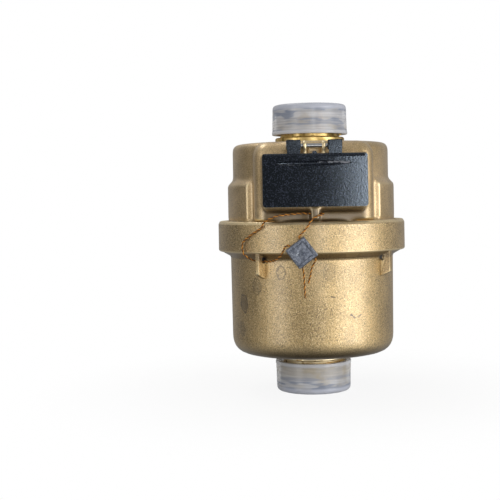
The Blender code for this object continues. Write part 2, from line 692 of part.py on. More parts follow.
def make_hinge_pin():
    pin = rod(PIN_RADIUS, (-PIN_HALF_LENGTH, PIN_Y, PIN_Z), (PIN_HALF_LENGTH, PIN_Y, PIN_Z))
    part("hinge_pin", pin, "steel", rounded=True)


def make_chamber():
    gasket = ring(CUP_BORE + 0.5, COLLAR_BORE - 0.6, COLLAR_LEDGE + GAP, SKIRT_BOTTOM - GAP)
    part("joint_gasket", gasket, "rubber", rounded=True)
    seal_inner = FOOT_RADIUS - FOOT_WALL + GAP
    seal = ring(seal_inner, FOOT_RADIUS - 0.2, CUP_FLOOR + GAP, CUP_FLOOR + GAP + SEAL_HEIGHT)
    part("chamber_seal", seal, "rubber", rounded=True)
    foot = CUP_FLOOR + SEAL_HEIGHT + 2 * GAP
    foot_inner = FOOT_RADIUS - FOOT_WALL
    under = CHAMBER_FLOOR - 2.5
    profile = [
        (CHAMBER_RADIUS, CHAMBER_TOP), (CHAMBER_RADIUS, CHAMBER_FLOOR + 0.5),
        (FOOT_RADIUS, CHAMBER_FLOOR - 2.1), (FOOT_RADIUS, foot), (foot_inner, foot), (foot_inner, under),
        (0.0, under), (0.0, CHAMBER_FLOOR), (HUB_INNER_RADIUS, CHAMBER_FLOOR),
        (HUB_INNER_RADIUS, WEB_BOTTOM - GAP), (HUB_RADIUS, WEB_BOTTOM - GAP),
        (HUB_RADIUS, CHAMBER_FLOOR), (CHAMBER_BORE, CHAMBER_FLOOR),
        (CHAMBER_BORE, CHAMBER_TOP),
    ]
    body = turned(profile)
    half_groove = PLATE_THICKNESS / 2 + GAP
    groove_low = (CHAMBER_BORE - 2.0, -half_groove, CHAMBER_FLOOR)
    groove = box(groove_low, (CHAMBER_BORE + 1.2, half_groove, CHAMBER_TOP + 1))
    port_x = PORT_AT * math.cos(math.radians(PORT_ANGLE))
    port_y = PORT_AT * math.sin(math.radians(PORT_ANGLE))
    outlet_port = rod(PORT_RADIUS, (port_x, port_y, under - 2.5), (port_x, port_y, CHAMBER_FLOOR + 2.0))
    seat_ends = ((0.0, 0.0, CHAMBER_FLOOR - 1.5), (0.0, 0.0, CHAMBER_FLOOR + 2.0))
    roller_seat = rod(ROLLER_RADIUS + GAP, *seat_ends, 12)
    cut(body, groove, outlet_port, roller_seat)
    part("chamber_body", body, "white_plastic", rounded=True)

    rim = CHAMBER_RADIUS - GAP
    opening = ECCENTRICITY + PISTON_PIN_RADIUS + 0.8
    crank_radius = ECCENTRICITY + PISTON_PIN_RADIUS + 2.0
    lid_profile = [
        (rim, CHAMBER_LID_TOP), (rim, CHAMBER_LID_BOTTOM), (HUB_RADIUS, CHAMBER_LID_BOTTOM),
        (HUB_RADIUS, WEB_TOP + GAP), (HUB_INNER_RADIUS, WEB_TOP + GAP),
        (HUB_INNER_RADIUS, CHAMBER_LID_BOTTOM),
        (opening, CHAMBER_LID_BOTTOM), (opening, CHAMBER_LID_TOP), (crank_radius + 0.4, CHAMBER_LID_TOP),
        (crank_radius + 0.4, COUPLING_TOP), (crank_radius + 1.9, COUPLING_TOP),
        (crank_radius + 1.9, CHAMBER_LID_TOP),
    ]
    lid = turned(lid_profile)
    port_ends = ((port_x, -port_y, CHAMBER_TOP - 1.0), (port_x, -port_y, CHAMBER_LID_TOP + 1.0))
    inlet_port = rod(PORT_RADIUS, *port_ends)
    cut(lid, inlet_port)
    part("chamber_lid", lid, "white_plastic", rounded=True)

    plate = box(
        (HUB_RADIUS + GAP, -PLATE_THICKNESS / 2, CHAMBER_FLOOR + GAP),
        (CHAMBER_BORE + 0.9, PLATE_THICKNESS / 2, CHAMBER_TOP),
    )
    part("division_plate", plate, "grey_plastic")
    roller = rod(ROLLER_RADIUS, (0.0, 0.0, CHAMBER_FLOOR - 1.2), (0.0, 0.0, WEB_BOTTOM - GAP), 12)
    part("chamber_roller", roller, "steel", rounded=True)

    wall = PISTON_RADIUS - PISTON_WALL
    low = CHAMBER_FLOOR + GAP
    piston = turned([
        (PISTON_RADIUS, CHAMBER_TOP), (PISTON_RADIUS, low), (wall, low), (wall, WEB_BOTTOM),
        (PISTON_PIN_RADIUS, WEB_BOTTOM), (PISTON_PIN_RADIUS, low + GAP), (0.0, low + GAP),
        (0.0, COUPLING_TOP),
        (PISTON_PIN_RADIUS, COUPLING_TOP), (PISTON_PIN_RADIUS, WEB_TOP), (wall, WEB_TOP), (wall, CHAMBER_TOP),
    ])
    notch_half = ECCENTRICITY + PLATE_THICKNESS / 2 + GAP
    notch_low = (HUB_INNER_RADIUS - 2.8, -notch_half, low - 1)
    cut(piston, box(notch_low, (PISTON_RADIUS + 1, notch_half, CHAMBER_TOP + 1)))
    moved(piston, Matrix.Translation((-ECCENTRICITY, 0.0, 0.0)))
    part("piston", piston, "grey_plastic", (-ECCENTRICITY, 0.0, 0.0), rounded=True)

    hold_down = ring(rim - 3.0, rim, CHAMBER_LID_TOP + GAP, WET_ROOF - GAP)
    reach = CHAMBER_RADIUS + 2.0
    side = CHAMBER_RADIUS / 3
    windows = []
    for angle in (0.0, 60.0, 120.0):
        window = box((-reach, -side, CHAMBER_LID_TOP + 3.0), (reach, side, WET_ROOF - 3.0))
        windows.append(moved(window, Matrix.Rotation(math.radians(angle), 4, "Z")))
    cut(hold_down, *windows)
    part("hold_down_ring", hold_down, "white_plastic", rounded=True)

    magnet_low = WET_ROOF - 6.0
    crank_top = CHAMBER_LID_TOP + 3.3
    hub = MAGNET_BORE - GAP
    stem = MAGNET_BORE - 1.0
    flange = magnet_low - 1.5
    carrier = turned([
        (0.0, WET_ROOF + 0.7), (0.9, WET_ROOF + 0.7), (0.9, WET_ROOF - 0.5), (hub, WET_ROOF - 0.5),
        (hub, magnet_low - GAP), (MAGNET_RADIUS, magnet_low - GAP), (MAGNET_RADIUS, flange), (stem, flange),
        (stem, crank_top), (crank_radius, crank_top), (crank_radius, CHAMBER_LID_TOP + GAP),
        (0.0, CHAMBER_LID_TOP + GAP),
    ])
    pin_x = -ECCENTRICITY
    crank_ends = ((pin_x, 0.0, CHAMBER_LID_TOP - 1), (pin_x, 0.0, COUPLING_TOP + GAP))
    crank_hole = rod(PISTON_PIN_RADIUS + GAP, *crank_ends, ROUND_COUNT)
    cut(carrier, crank_hole)
    part("rotor", carrier, "white_plastic", rounded=True)
    magnet = ring(MAGNET_BORE, MAGNET_RADIUS, magnet_low, WET_ROOF - 0.8)
    part("driver_magnet", magnet, "magnet", rounded=True)


def make_strainer():
    outer = BORE_RADIUS - GAP
    inner = outer - 0.8
    mouth = INLET_FACE - GAP
    bottom = CHANNEL_TOP + 1.5
    thimble = turned([
        (outer, mouth), (outer, bottom), (0.0, bottom), (0.0, bottom + 0.8),
        (inner, bottom + 0.8), (inner, mouth),
    ])
    slots = []
    for number in range(4):
        slot = box((-BORE_RADIUS, -1.1, bottom + 2.0), (BORE_RADIUS, 1.1, mouth - 2.2))
        slots.append(moved(slot, Matrix.Rotation(math.radians(45.0 * number), 4, "Z")))
    cut(thimble, *slots)
    part("inlet_strainer", thimble, "white_plastic", rounded=True)


def stepped_block(inset, front):
    """The register pocket's stepped form, smaller all round by the inset and open to the front."""
    bottom = POCKET_BOTTOM + inset
    top = POCKET_TOP - inset
    low_top = POCKET_LOW_TOP - inset
    step = POCKET_STEP - inset
    back = POCKET_BACK - inset
    outline = [(front, bottom), (back, bottom), (back, low_top), (step, low_top), (step, top), (front, top)]
    return along_x(flat([outline], 2 * (POCKET_HALF_WIDTH - inset)), 0.0, 0.0, 0.0)


def make_register():
    case = stepped_block(GAP, CASE_FRONT)
    cut(case, stepped_block(GAP + CASE_WALL, CASE_FRONT - 1.0))
    holes = [
        disc(1.6, POCKET_BOTTOM - 1.0, POCKET_BOTTOM + CASE_WALL + 2.0, SMALL_COUNT),
        disc(1.0, POCKET_LOW_TOP - CASE_WALL - 2.0, POCKET_LOW_TOP + 1.0, SMALL_COUNT),
    ]
    for y, z in ((DRUM_Y, DRUM_Z), (DRUM_Y, CARRY_Z), (TRANSFER_Y, TRANSFER_Z)):
        holes.append(rod(SHAFT_HOLE_RADIUS, (-TRAY_HALF_WIDTH, y, z), (TRAY_HALF_WIDTH, y, z), 8))
    idler_y = (DRUM_Y + TRANSFER_Y) / 2
    idler_z = (DRUM_Z + TRANSFER_Z) / 2
    stud_ends = ((CASE_HALF_WIDTH - 3.0, idler_y, idler_z), (TRAY_HALF_WIDTH, idler_y, idler_z))
    holes.append(rod(SHAFT_HOLE_RADIUS, *stud_ends, 8))
    cut(case, *holes)
    part("register_case", case, "white_plastic")

    drive_x = FIRST_DRUM_X + (DRUM_WIDTH - MESH_WIDTH) / 2
    end = CASE_HALF_WIDTH - GAP
    for name, y, z in (("drum_shaft", DRUM_Y, DRUM_Z), ("carry_shaft", DRUM_Y, CARRY_Z)):
        part(name, rod(SHAFT_RADIUS, (-end, y, z), (end, y, z), 10), "steel", rounded=True)
    stud = rod(SHAFT_RADIUS, (drive_x - 1.0, idler_y, idler_z), (end, idler_y, idler_z), 12)
    part("idler_stud", stud, "steel", rounded=True)

    inner = CASE_HALF_WIDTH - CASE_WALL - GAP
    low = POCKET_BOTTOM + CASE_WALL + 2 * GAP
    high = POCKET_TOP - CASE_WALL - 2 * GAP
    left = FIRST_DRUM_X - DRUM_PITCH * (DRUM_COUNT - 0.5) - GAP
    right = FIRST_DRUM_X + DRUM_PITCH * 0.5 + GAP
    sill = DRUM_Z - WINDOW_HALF_HEIGHT
    lintel = DRUM_Z + WINDOW_HALF_HEIGHT
    border = [(-inner, low), (inner, low), (inner, high), (-inner, high)]
    window = [(left, sill), (right, sill), (right, lintel), (left, lintel)]
    dial = flat([border, window], 0.8)
    moved(dial, Matrix(((1, 0, 0, 0), (0, 0, -1, CASE_FRONT + 1.8), (0, 1, 0, 0), (0, 0, 0, 1))))
    part("dial_plate", dial, "white_plastic")

    def frame_ring(front, back, rim):
        half = CASE_HALF_WIDTH
        bottom = POCKET_BOTTOM + GAP
        top = POCKET_TOP - GAP
        outer = box((-half, front, bottom), (half, back, top))
        return cut(outer, box((-half + rim, front - 1, bottom + rim), (half - rim, back + 1, top - rim)))

    part("window_gasket", frame_ring(CASE_FRONT - 3 * GAP, CASE_FRONT - GAP, CASE_WALL), "rubber")
    pane_low = (-CASE_HALF_WIDTH, CASE_FRONT - 2.6, POCKET_BOTTOM + GAP)
    pane = box(pane_low, (CASE_HALF_WIDTH, CASE_FRONT - 4 * GAP, POCKET_TOP - GAP))
    part("window_pane", pane, "glass")
    part("window_frame", frame_ring(CASE_FRONT - 3.7, CASE_FRONT - 2.6 - GAP, 1.5), "grey_plastic")

    for number in range(DRUM_COUNT):
        centre = FIRST_DRUM_X - DRUM_PITCH * number
        band = flat([circle(DRUM_RADIUS, DRUM_TEETH, 0.5)], DRUM_WIDTH - GEAR_WIDTH)
        along_x(band, centre - GEAR_WIDTH / 2, DRUM_Y, DRUM_Z)
        gear = flat([toothed(DRUM_TEETH, GEAR_ROOT, GEAR_TIP, 0.0)], GEAR_WIDTH + 0.2)
        along_x(gear, centre + DRUM_WIDTH / 2 - GEAR_WIDTH / 2 - 0.1, DRUM_Y, DRUM_Z)
        join(band, gear)
        cut(band, rod(SHAFT_HOLE_RADIUS, (centre - 3.0, DRUM_Y, DRUM_Z), (centre + 3.0, DRUM_Y, DRUM_Z), 8))
        part(f"number_drum_{number + 1}", band, "white_plastic", (centre, DRUM_Y, DRUM_Z))

    for number in range(DRUM_COUNT - 1):
        centre = FIRST_DRUM_X - DRUM_PITCH * (number + 1) + (DRUM_WIDTH - MESH_WIDTH) / 2
        carry = flat([toothed(CARRY_TEETH, CARRY_ROOT, CARRY_TIP, 0.5)], MESH_WIDTH)
        along_x(carry, centre, DRUM_Y, CARRY_Z)
        hole = rod(SHAFT_RADIUS + 0.12, (centre - 2, DRUM_Y, CARRY_Z), (centre + 2, DRUM_Y, CARRY_Z), 8)
        cut(carry, hole)
        part(f"carry_pinion_{number + 1}", carry, "white_plastic", (centre, DRUM_Y, CARRY_Z))

    tilt = math.atan2(TRANSFER_Z - DRUM_Z, TRANSFER_Y - DRUM_Y)
    drum_phase = tilt / (2 * math.pi) * DRUM_TEETH
    idler_phase = (tilt + math.pi) / (2 * math.pi) * IDLER_TEETH
    idler_shift = idler_phase + 0.5 + (drum_phase - round(drum_phase))
    idler_teeth = toothed(IDLER_TEETH, IDLER_ROOT, IDLER_TIP, idler_shift)
    idler = flat([idler_teeth, circle(SHAFT_HOLE_RADIUS, 8)], MESH_WIDTH)
    along_x(idler, drive_x, idler_y, idler_z)
    part("idler_gear", idler, "white_plastic", (drive_x, idler_y, idler_z))

    shaft = rod(SHAFT_RADIUS, (-end, TRANSFER_Y, TRANSFER_Z), (end, TRANSFER_Y, TRANSFER_Z), 12)
    wheel = along_x(flat([toothed(DRUM_TEETH, GEAR_ROOT, GEAR_TIP, 0.0)], 1.8), 0.0, TRANSFER_Y, TRANSFER_Z)
    meet = tilt / (2 * math.pi) * IDLER_TEETH
    off = (meet - idler_shift) - round(meet - idler_shift)
    pinion_phase = (tilt + math.pi) / (2 * math.pi) * DRUM_TEETH + off + 0.5
    pinion = flat([toothed(DRUM_TEETH, GEAR_ROOT, GEAR_TIP, pinion_phase)], MESH_WIDTH)
    along_x(pinion, drive_x, TRANSFER_Y, TRANSFER_Z)
    join(shaft, wheel, pinion)
    part("transfer_shaft", shaft, "white_plastic", (0.0, TRANSFER_Y, TRANSFER_Z))

    top = POCKET_LOW_TOP - 0.6
    flange = WELL_FLOOR + 5.5
    spindle = turned([
        (0.0, top), (0.7, top), (0.7, top - 1.0), (1.3, top - 1.0), (1.3, flange + 0.7), (3.0, flange + 0.7),
        (3.0, flange), (2.0, flange), (2.0, WELL_FLOOR + 1.0), (0.7, WELL_FLOOR + 1.0),
        (0.7, WELL_FLOOR - 0.7), (0.0, WELL_FLOOR - 0.7),
    ], SMALL_COUNT)
    turns = 3
    lead = 2 * math.pi * 4.0 / DRUM_TEETH
    helix = []
    for step in range(turns * 10 + 1):
        angle = 2 * math.pi * step / 10 - math.pi / 2
        height = TRANSFER_Z + lead * (step / 10 - turns / 2)
        helix.append(Vector((1.45 * math.cos(angle), 1.45 * math.sin(angle), height)))
    worm = wire_tube(helix, 0.3, 0)
    join(spindle, worm)
    part("follower_spindle", spindle, "white_plastic", rounded=True)
    magnet = ring(2.0 + GAP, WELL_RADIUS - 0.5, WELL_FLOOR + 1.1, flange - GAP)
    part("follower_magnet", magnet, "magnet", rounded=True)


def fitted(point):
    """A point of the laid wire, moved out with the collar as far up as the collar goes."""
    x, y, z = point
    grown = COLLAR_RADIUS - LAID_RADIUS
    share = min(max((LAID_TOP + 2.2 - z) / 1.5, 0.0), 1.0)
    beside = x < SEAL_CENTRE[0] - SEAL_SIDE / 2 - 1.0
    outward = Vector((x if beside else 0.0, y)).normalized() * grown * share
    return Vector((x + outward.x, y + outward.y, z + COLLAR_TOP - LAID_TOP))


def make_seal():
    route = [fitted(point) for point in WIRE_ROUTE]
    wire = wire_tube(smooth_path(route, WIRE_STEP), WIRE_RADIUS)
    half = SEAL_SIDE / 2
    deep = SEAL_THICKNESS / 2
    seal = box((-half, -deep, -half), (half, deep, half), 0.4, 1)
    dished = half - SEAL_BORDER
    cut(seal, box((-dished, -deep - 1, -dished), (dished, -deep + 0.6, dished)))
    place = Matrix.Translation(fitted(SEAL_CENTRE)) @ Matrix.Rotation(math.radians(SEAL_TILT), 4, "Y")
    moved(seal, place)
    for first, last in (FIRST_STRAIGHT, SECOND_STRAIGHT):
        along = (route[last] - route[first]).normalized()
        cut(seal, rod(WIRE_RADIUS + GAP, route[first] - along * 4, route[last] + along * 4, 10))
    part("lead_seal", seal, "lead")
    part("seal_wire", wire, "copper", rounded=True)


for existing in list(bpy.data.objects):
    bpy.data.objects.remove(existing)
meter = bpy.data.collections.new("water_meter")
bpy.context.scene.collection.children.link(meter)
make_cup()
make_head()
make_caps()
make_lid()
make_hinge_pin()
make_chamber()
make_strainer()
make_register()
make_seal()
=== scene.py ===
import math

import bmesh
import bpy
from mathutils import Matrix, Vector, noise


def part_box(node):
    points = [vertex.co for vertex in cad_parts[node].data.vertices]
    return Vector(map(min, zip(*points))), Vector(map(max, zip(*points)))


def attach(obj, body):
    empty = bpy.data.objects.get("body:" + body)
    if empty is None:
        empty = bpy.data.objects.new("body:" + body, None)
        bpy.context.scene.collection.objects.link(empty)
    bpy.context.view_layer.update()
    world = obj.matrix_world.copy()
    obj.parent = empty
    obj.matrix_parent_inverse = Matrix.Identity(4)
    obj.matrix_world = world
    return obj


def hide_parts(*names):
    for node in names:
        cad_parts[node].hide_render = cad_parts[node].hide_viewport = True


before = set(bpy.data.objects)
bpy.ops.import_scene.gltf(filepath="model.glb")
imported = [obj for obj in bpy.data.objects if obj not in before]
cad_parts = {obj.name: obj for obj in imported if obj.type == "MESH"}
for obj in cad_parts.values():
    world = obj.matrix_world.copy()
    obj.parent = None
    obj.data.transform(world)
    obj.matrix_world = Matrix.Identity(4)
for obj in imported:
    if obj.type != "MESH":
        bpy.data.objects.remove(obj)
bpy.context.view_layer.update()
print("frame loaded")

# shapes and masks are in millimetres, and a piece is scaled when it is made; lamps and camera are in metres
millimetre = 0.001
spinSteps = 144
mergeReach = 1e-4


class Link:
    # a node's output; arithmetic on it adds Math nodes
    def __init__(self, maker, socket):
        self.maker = maker
        self.socket = socket

    def math(self, operation, first, second):
        return self.maker.node("Math", {0: first, 1: second}, operation=operation)

    def __add__(self, other):
        return self.math("ADD", self, other)

    def __radd__(self, other):
        return self.math("ADD", other, self)

    def __sub__(self, other):
        return self.math("SUBTRACT", self, other)

    def __rsub__(self, other):
        return self.math("SUBTRACT", other, self)

    def __mul__(self, other):
        return self.math("MULTIPLY", self, other)

    def __rmul__(self, other):
        return self.math("MULTIPLY", other, self)

    def __truediv__(self, other):
        return self.math("DIVIDE", self, other)


class Nodes:
    # adds nodes to one tree; a value is a link, or what the socket takes
    def __init__(self, tree):
        self.tree = tree

    def put(self, socket, value):
        if isinstance(value, Link):
            self.tree.links.new(value.socket, socket)
            return
        if socket.type == "RGBA" and len(value) == 3:
            value = (*value, 1.0)
        socket.default_value = value

    def node(self, kind, values=None, output=0, **settings):
        made = self.tree.nodes.new("ShaderNode" + kind)
        for key, value in settings.items():
            setattr(made, key, value)
        for key, value in (values or {}).items():
            self.put(made.inputs[key], value)
        return Link(self, made.outputs[output])

    def vector(self, operation, values, output=0):
        return self.node("VectorMath", values, output, operation=operation)

    def axis(self, place, name):
        return self.node("SeparateXYZ", {0: place}, name)

    def size(self, value):
        return self.node("Math", {0: value}, operation="ABSOLUTE")

    def between(self, value, low, high, first=0.0, last=1.0):
        # first below low and last above high, with a soft step
        values = {"Value": value, "From Min": low, "From Max": high, "To Min": first, "To Max": last}
        return self.node("MapRange", values, interpolation_type="SMOOTHSTEP")


class Finish(Nodes):
    # one material, placed by its piece's own coordinates in millimetres
    def __init__(self, name):
        self.material = bpy.data.materials.new(name)
        self.material.use_nodes = True
        super().__init__(self.material.node_tree)
        self.shader = self.tree.nodes["Principled BSDF"]
        place = self.node("TexCoord", output="Object")
        self.place = self.vector("SCALE", {0: place, "Scale": 1 / millimetre})

    def set(self, **values):
        for key, value in values.items():
            self.put(self.shader.inputs[key.replace("_", " ")], value)

    def noise(self, size, detail=3.0, roughness=0.55, stretch=None, output=0):
        place = self.place
        if stretch:
            place = self.node("Mapping", {"Vector": place, "Scale": stretch})
        values = {"Vector": place, "Scale": 1 / size, "Detail": detail, "Roughness": roughness}
        return self.node("TexNoise", values, output)

    def noises(self, settings):
        return {name: self.noise(*values) for name, values in settings.items()}

    def mix(self, factor, first, second):
        return self.node("Mix", {0: factor, 6: first, 7: second}, 2, data_type="RGBA")

    def layers(self, tone, fields, rows):
        # each row lays a colour over the tone where a field passes a step
        for name, step, share, colour in rows:
            tone = self.mix(self.between(fields[name], *step) * share, tone, colour)
        return tone

    def away(self, centre):
        return self.vector("DISTANCE", {0: self.place, 1: centre}, "Value")

    def band(self, low, high, soft):
        # 1 between two heights, gone a soft distance away from them
        height = self.axis(self.place, "Z")
        return self.between(height, low - soft, low) * self.between(height, high + soft, high)

    def spot(self, centre, reach):
        # 1 inside a ragged patch round the centre, fading out towards its reach
        ragged = self.away(centre) + (self.noise(2.5, 4.0) - 0.5) * (0.9 * reach)
        return 1.0 - self.between(ragged, 0.4 * reach, reach)

    def hollow(self, centre, reach):
        # 1 inside a hole of this reach round the centre
        return 1.0 - self.between(self.away(centre), 0.75 * reach, reach)

    def loop(self, centre, reach, width):
        # 1 on a ragged upright oval ring round the centre
        oval = Vector((1.25, 1.25, 0.85))
        place = self.vector("MULTIPLY", {0: self.place, 1: oval})
        away = self.vector("DISTANCE", {0: place, 1: Vector(centre) * oval}, "Value")
        ragged = away + (self.noise(2.2, 4.0, 0.65) - 0.5) * (1.3 * reach)
        return 1.0 - self.between(self.size(ragged - reach), 0.1 * width, width)

    def stroke(self, start, end, width):
        # 1 on a thin line between two points, which wavers as far as its noise is large
        waver = 1.6
        first = Vector(start)
        along = Vector(end) - first
        wave = self.vector("SUBTRACT", {0: self.noise(waver, output="Color"), 1: (0.5, 0.5, 0.5)})
        wave = self.vector("SCALE", {0: wave, "Scale": waver})
        gone = self.vector("SUBTRACT", {0: self.vector("ADD", {0: self.place, 1: wave}), 1: first})
        part = self.vector("DOT_PRODUCT", {0: gone, 1: along}, "Value") / along.length_squared
        nearest = self.vector("SCALE", {0: along, "Scale": self.node("Clamp", {"Value": part})})
        away = self.vector("DISTANCE", {0: gone, 1: nearest}, "Value")
        return 1.0 - self.between(away, 0.3 * width, width)

    def bump(self, height, distance, strength, normal=None):
        values = {"Height": height, "Distance": distance * millimetre, "Strength": strength}
        if normal:
            values["Normal"] = normal
        return self.node("Bump", values)


# a noise is its size, detail, roughness and stretch; a step is where it starts and ends
# a bump is its height and strength
castLook = {
    "noises": {
        "cloud": (14.0, 5.0, 0.6), "grain": (0.42, 2.0, 0.65),
        "lumps": (1.9, 3.0, 0.55), "speck": (1.3, 2.0, 0.5),
    },
    "dark": (0.50, 0.34, 0.135), "edge": (0.98, 0.80, 0.46), "pit": (0.10, 0.068, 0.036),
    # grime colours real marks and also painted shade; bore is the near-black painted shade of the lug holes
    "stain": (0.13, 0.09, 0.052), "grimeAndShade": (0.12, 0.075, 0.03), "bore": (0.012, 0.008, 0.005),
    "cloudStep": (0.32, 0.7), "paleGrain": (0.5, 0.7), "darkGrain": (0.5, 0.3), "speckStep": (0.68, 0.8),
    "speckShare": 0.55, "edgeStep": (0.508, 0.54), "edgeShare": 0.75,
    "stainShare": 0.6, "ringShare": 0.9, "ringReach": 0.8, "ringWidth": 0.5,
    # the hollow steps place the painted shade under the register tray
    "hollowFront": (-30.5, -31.5), "hollowSide": (21.5, 19.5), "hollowBand": (70.2, 73.7, 2.0),
    "hollowShare": 0.8,
    "rough": 0.36, "grainRough": 0.2, "speckRough": 0.2, "roughStep": (0.6, 0.8), "edgeGloss": 0.14,
    "smoothGrain": 0.08, "grainStrength": 0.9, "lumpBump": (0.18, 0.35),
}
# wear and painted light are what a mask takes, then its strength; the places are read from the photograph
headWear = {"stains": (((20.5, -24.0, 76.0), 2.4, 0.3),)}
cupWearAndPaintedLight = {
    "stains": (
        ((-27.9, -17.8, 37.3), 3.6, 0.95),
        ((-22.7, -24.2, 44.5), 3.2, 0.55),
        ((5.0, -32.8, 50.4), 3.4, 0.35),
        ((-28.7, -16.3, 27.0), 3.0, 0.4),
        ((13.0, -30.4, 26.0), 3.0, 0.25),
    ),
    "marks": (((-13.3, -30.4, 50.2), 2.1, 0.5, 0.7),),
    "scratches": (
        ((13.2, -30.4, 33.6), (15.0, -29.6, 32.4), 0.5, 0.9),
        ((15.0, -29.6, 32.4), (17.6, -28.2, 33.4), 0.45, 0.9),
        ((5.4, -32.7, 41.1), (7.2, -32.4, 40.6), 0.45, 0.9),
    ),
    # painted shade: darker towards the cup's bottom corner, and a dark band just under the collar
    "paintedShades": ((10.0, 16.6, 4.4, 0.75), (55.3, 57.5, 0.5, 0.5)),
    # painted highlights: bright lines along the collar's lower and upper edges
    "highlightRims": ((57.7, 58.05, 0.4, 0.9), (69.0, 69.6, 0.4, 0.6)),
    # painted shade: the lug holes and the metal round them are painted near black
    "holes": (((-20.6, -27.3, 54.9), 1.8, 1.0), ((27.3, -20.6, 54.9), 1.6, 1.0)),
}


def castBrass(name, pale, grit, wearAndPaintedLight):
    look = castLook
    finish = Finish(name)
    field = finish.noises(look["noises"])
    field["edges"] = finish.node("NewGeometry", output="Pointiness")
    tone = finish.layers(look["dark"], field, (
        ("cloud", look["cloudStep"], 1.0, pale),
        ("grain", look["paleGrain"], grit, look["edge"]),
        ("grain", look["darkGrain"], grit, look["pit"]),
        ("speck", look["speckStep"], look["speckShare"], look["pit"]),
        ("edges", look["edgeStep"], look["edgeShare"], look["edge"]),
    ))
    for centre, reach, strength in wearAndPaintedLight["stains"]:
        tone = finish.mix(finish.spot(centre, reach) * (look["stainShare"] * strength), tone, look["stain"])
        ring = finish.loop(centre, look["ringReach"] * reach, look["ringWidth"])
        tone = finish.mix(ring * (look["ringShare"] * strength), tone, look["stain"])
    # stains, marks and scratches are real wear; the shade bands and the hole darkening are painted shade, and
    # the edge rims painted highlights
    for kind, mask, colour in (
        ("marks", finish.loop, "grimeAndShade"), ("scratches", finish.stroke, "pit"),
        ("paintedShades", finish.band, "grimeAndShade"), ("highlightRims", finish.band, "edge"), ("holes", finish.hollow, "bore"),
    ):
        for *place, strength in wearAndPaintedLight.get(kind, ()):
            tone = finish.mix(mask(*place) * strength, tone, look[colour])
    # painted shade darkens the hollow under the register, where the tray overhangs
    front = finish.between(finish.axis(finish.place, "Y"), *look["hollowFront"])
    middle = finish.between(finish.size(finish.axis(finish.place, "X")), *look["hollowSide"])
    grimeAndShade = finish.band(*look["hollowBand"]) * front * middle
    tone = finish.mix(grimeAndShade * look["hollowShare"], tone, look["grimeAndShade"])
    specks = finish.between(field["speck"], *look["roughStep"])
    worn = finish.between(field["edges"], *look["edgeStep"])
    rough = look["rough"] + field["grain"] * look["grainRough"] + specks * look["speckRough"]
    normal = finish.bump(field["grain"], look["smoothGrain"] * (1 + grit), look["grainStrength"])
    normal = finish.bump(field["lumps"], *look["lumpBump"], normal)
    finish.set(Base_Color=tone, Metallic=0.95, Roughness=rough - worn * look["edgeGloss"], Normal=normal)
    finish.set(Coat_Weight=1.0, Coat_Roughness=0.36, Coat_IOR=1.75)
    return finish.material


turnedLook = {
    "noises": {"lines": (0.5, 2.0, 0.6, (0.03, 0.03, 1.0)), "patch": (3.2, 2.0, 0.5, (1.0, 1.0, 0.35))},
    "midStep": (0.30, 0.44), "paleStep": (0.42, 0.52), "lineStep": (0.55, 0.7), "lineShare": 0.5,
    "lineRough": 0.14, "bump": (0.03, 0.6),
}


def machinedBrass(name, pale, mid, dark, rough):
    look = turnedLook
    finish = Finish(name)
    field = finish.noises(look["noises"])
    tone = finish.layers(dark, field, (
        ("patch", look["midStep"], 1.0, mid),
        ("patch", look["paleStep"], 1.0, pale),
        ("lines", look["lineStep"], look["lineShare"], dark),
    ))
    rough = rough + field["lines"] * look["lineRough"]
    normal = finish.bump(field["lines"], *look["bump"])
    finish.set(Base_Color=tone, Metallic=1.0, Roughness=rough, Normal=normal)
    return finish.material


lidLook = {
    "noises": {"spark": (0.45, 1.0, 0.5), "cloud": (6.0, 4.0), "scuff": (1.0, 3.0, 0.7, (0.35, 0.35, 1.6))},
    "face": (0.0035, 0.0045, 0.0065),
    "layers": (
        ("cloud", (0.5, 0.8), 0.5, (0.007, 0.009, 0.013)),
        ("scuff", (0.68, 0.8), 0.3, (0.09, 0.09, 0.10)),
        ("spark", (0.54, 0.66), 0.65, (0.045, 0.052, 0.076)),
    ),
    # a painted highlight: the strokes lay a pale line along the finger groove's lower wall
    "grooveHighlight": (0.34, 0.35, 0.38),
    "highlightStrokes": (
        ((1.0, -38.9, 92.2), (13.0, -38.9, 92.3), 0.55, 0.8),
        ((-15.0, -38.9, 91.3), (-3.0, -38.9, 91.6), 0.35, 0.4),
    ),
    "innerStep": (-38.7, -38.2), "scuffStep": (0.6, 0.8), "tint": (0.72, 0.85, 1.0), "bump": (0.02, 0.8),
    "rough": 0.07, "cloudRough": 0.03, "sparkRough": 0.04, "scuffRough": 0.1, "innerRough": 0.16,
}


def lidPlastic(name):
    look = lidLook
    finish = Finish(name)
    field = finish.noises(look["noises"])
    tone = finish.layers(look["face"], field, look["layers"])
    # a painted highlight lightens the finger groove's lower wall
    for start, end, width, strength in look["highlightStrokes"]:
        tone = finish.mix(finish.stroke(start, end, width) * strength, tone, look["grooveHighlight"])
    # the arms and the inner side are duller than the face
    inner = finish.between(finish.axis(finish.place, "Y"), *look["innerStep"])
    scuffed = finish.between(field["scuff"], *look["scuffStep"])
    rough = look["rough"] + field["cloud"] * look["cloudRough"] + field["spark"] * look["sparkRough"]
    rough = rough + scuffed * look["scuffRough"] + inner * look["innerRough"]
    finish.set(Base_Color=tone, Roughness=rough, Specular_Tint=look["tint"])
    finish.set(Normal=finish.bump(field["spark"], *look["bump"]))
    return finish.material


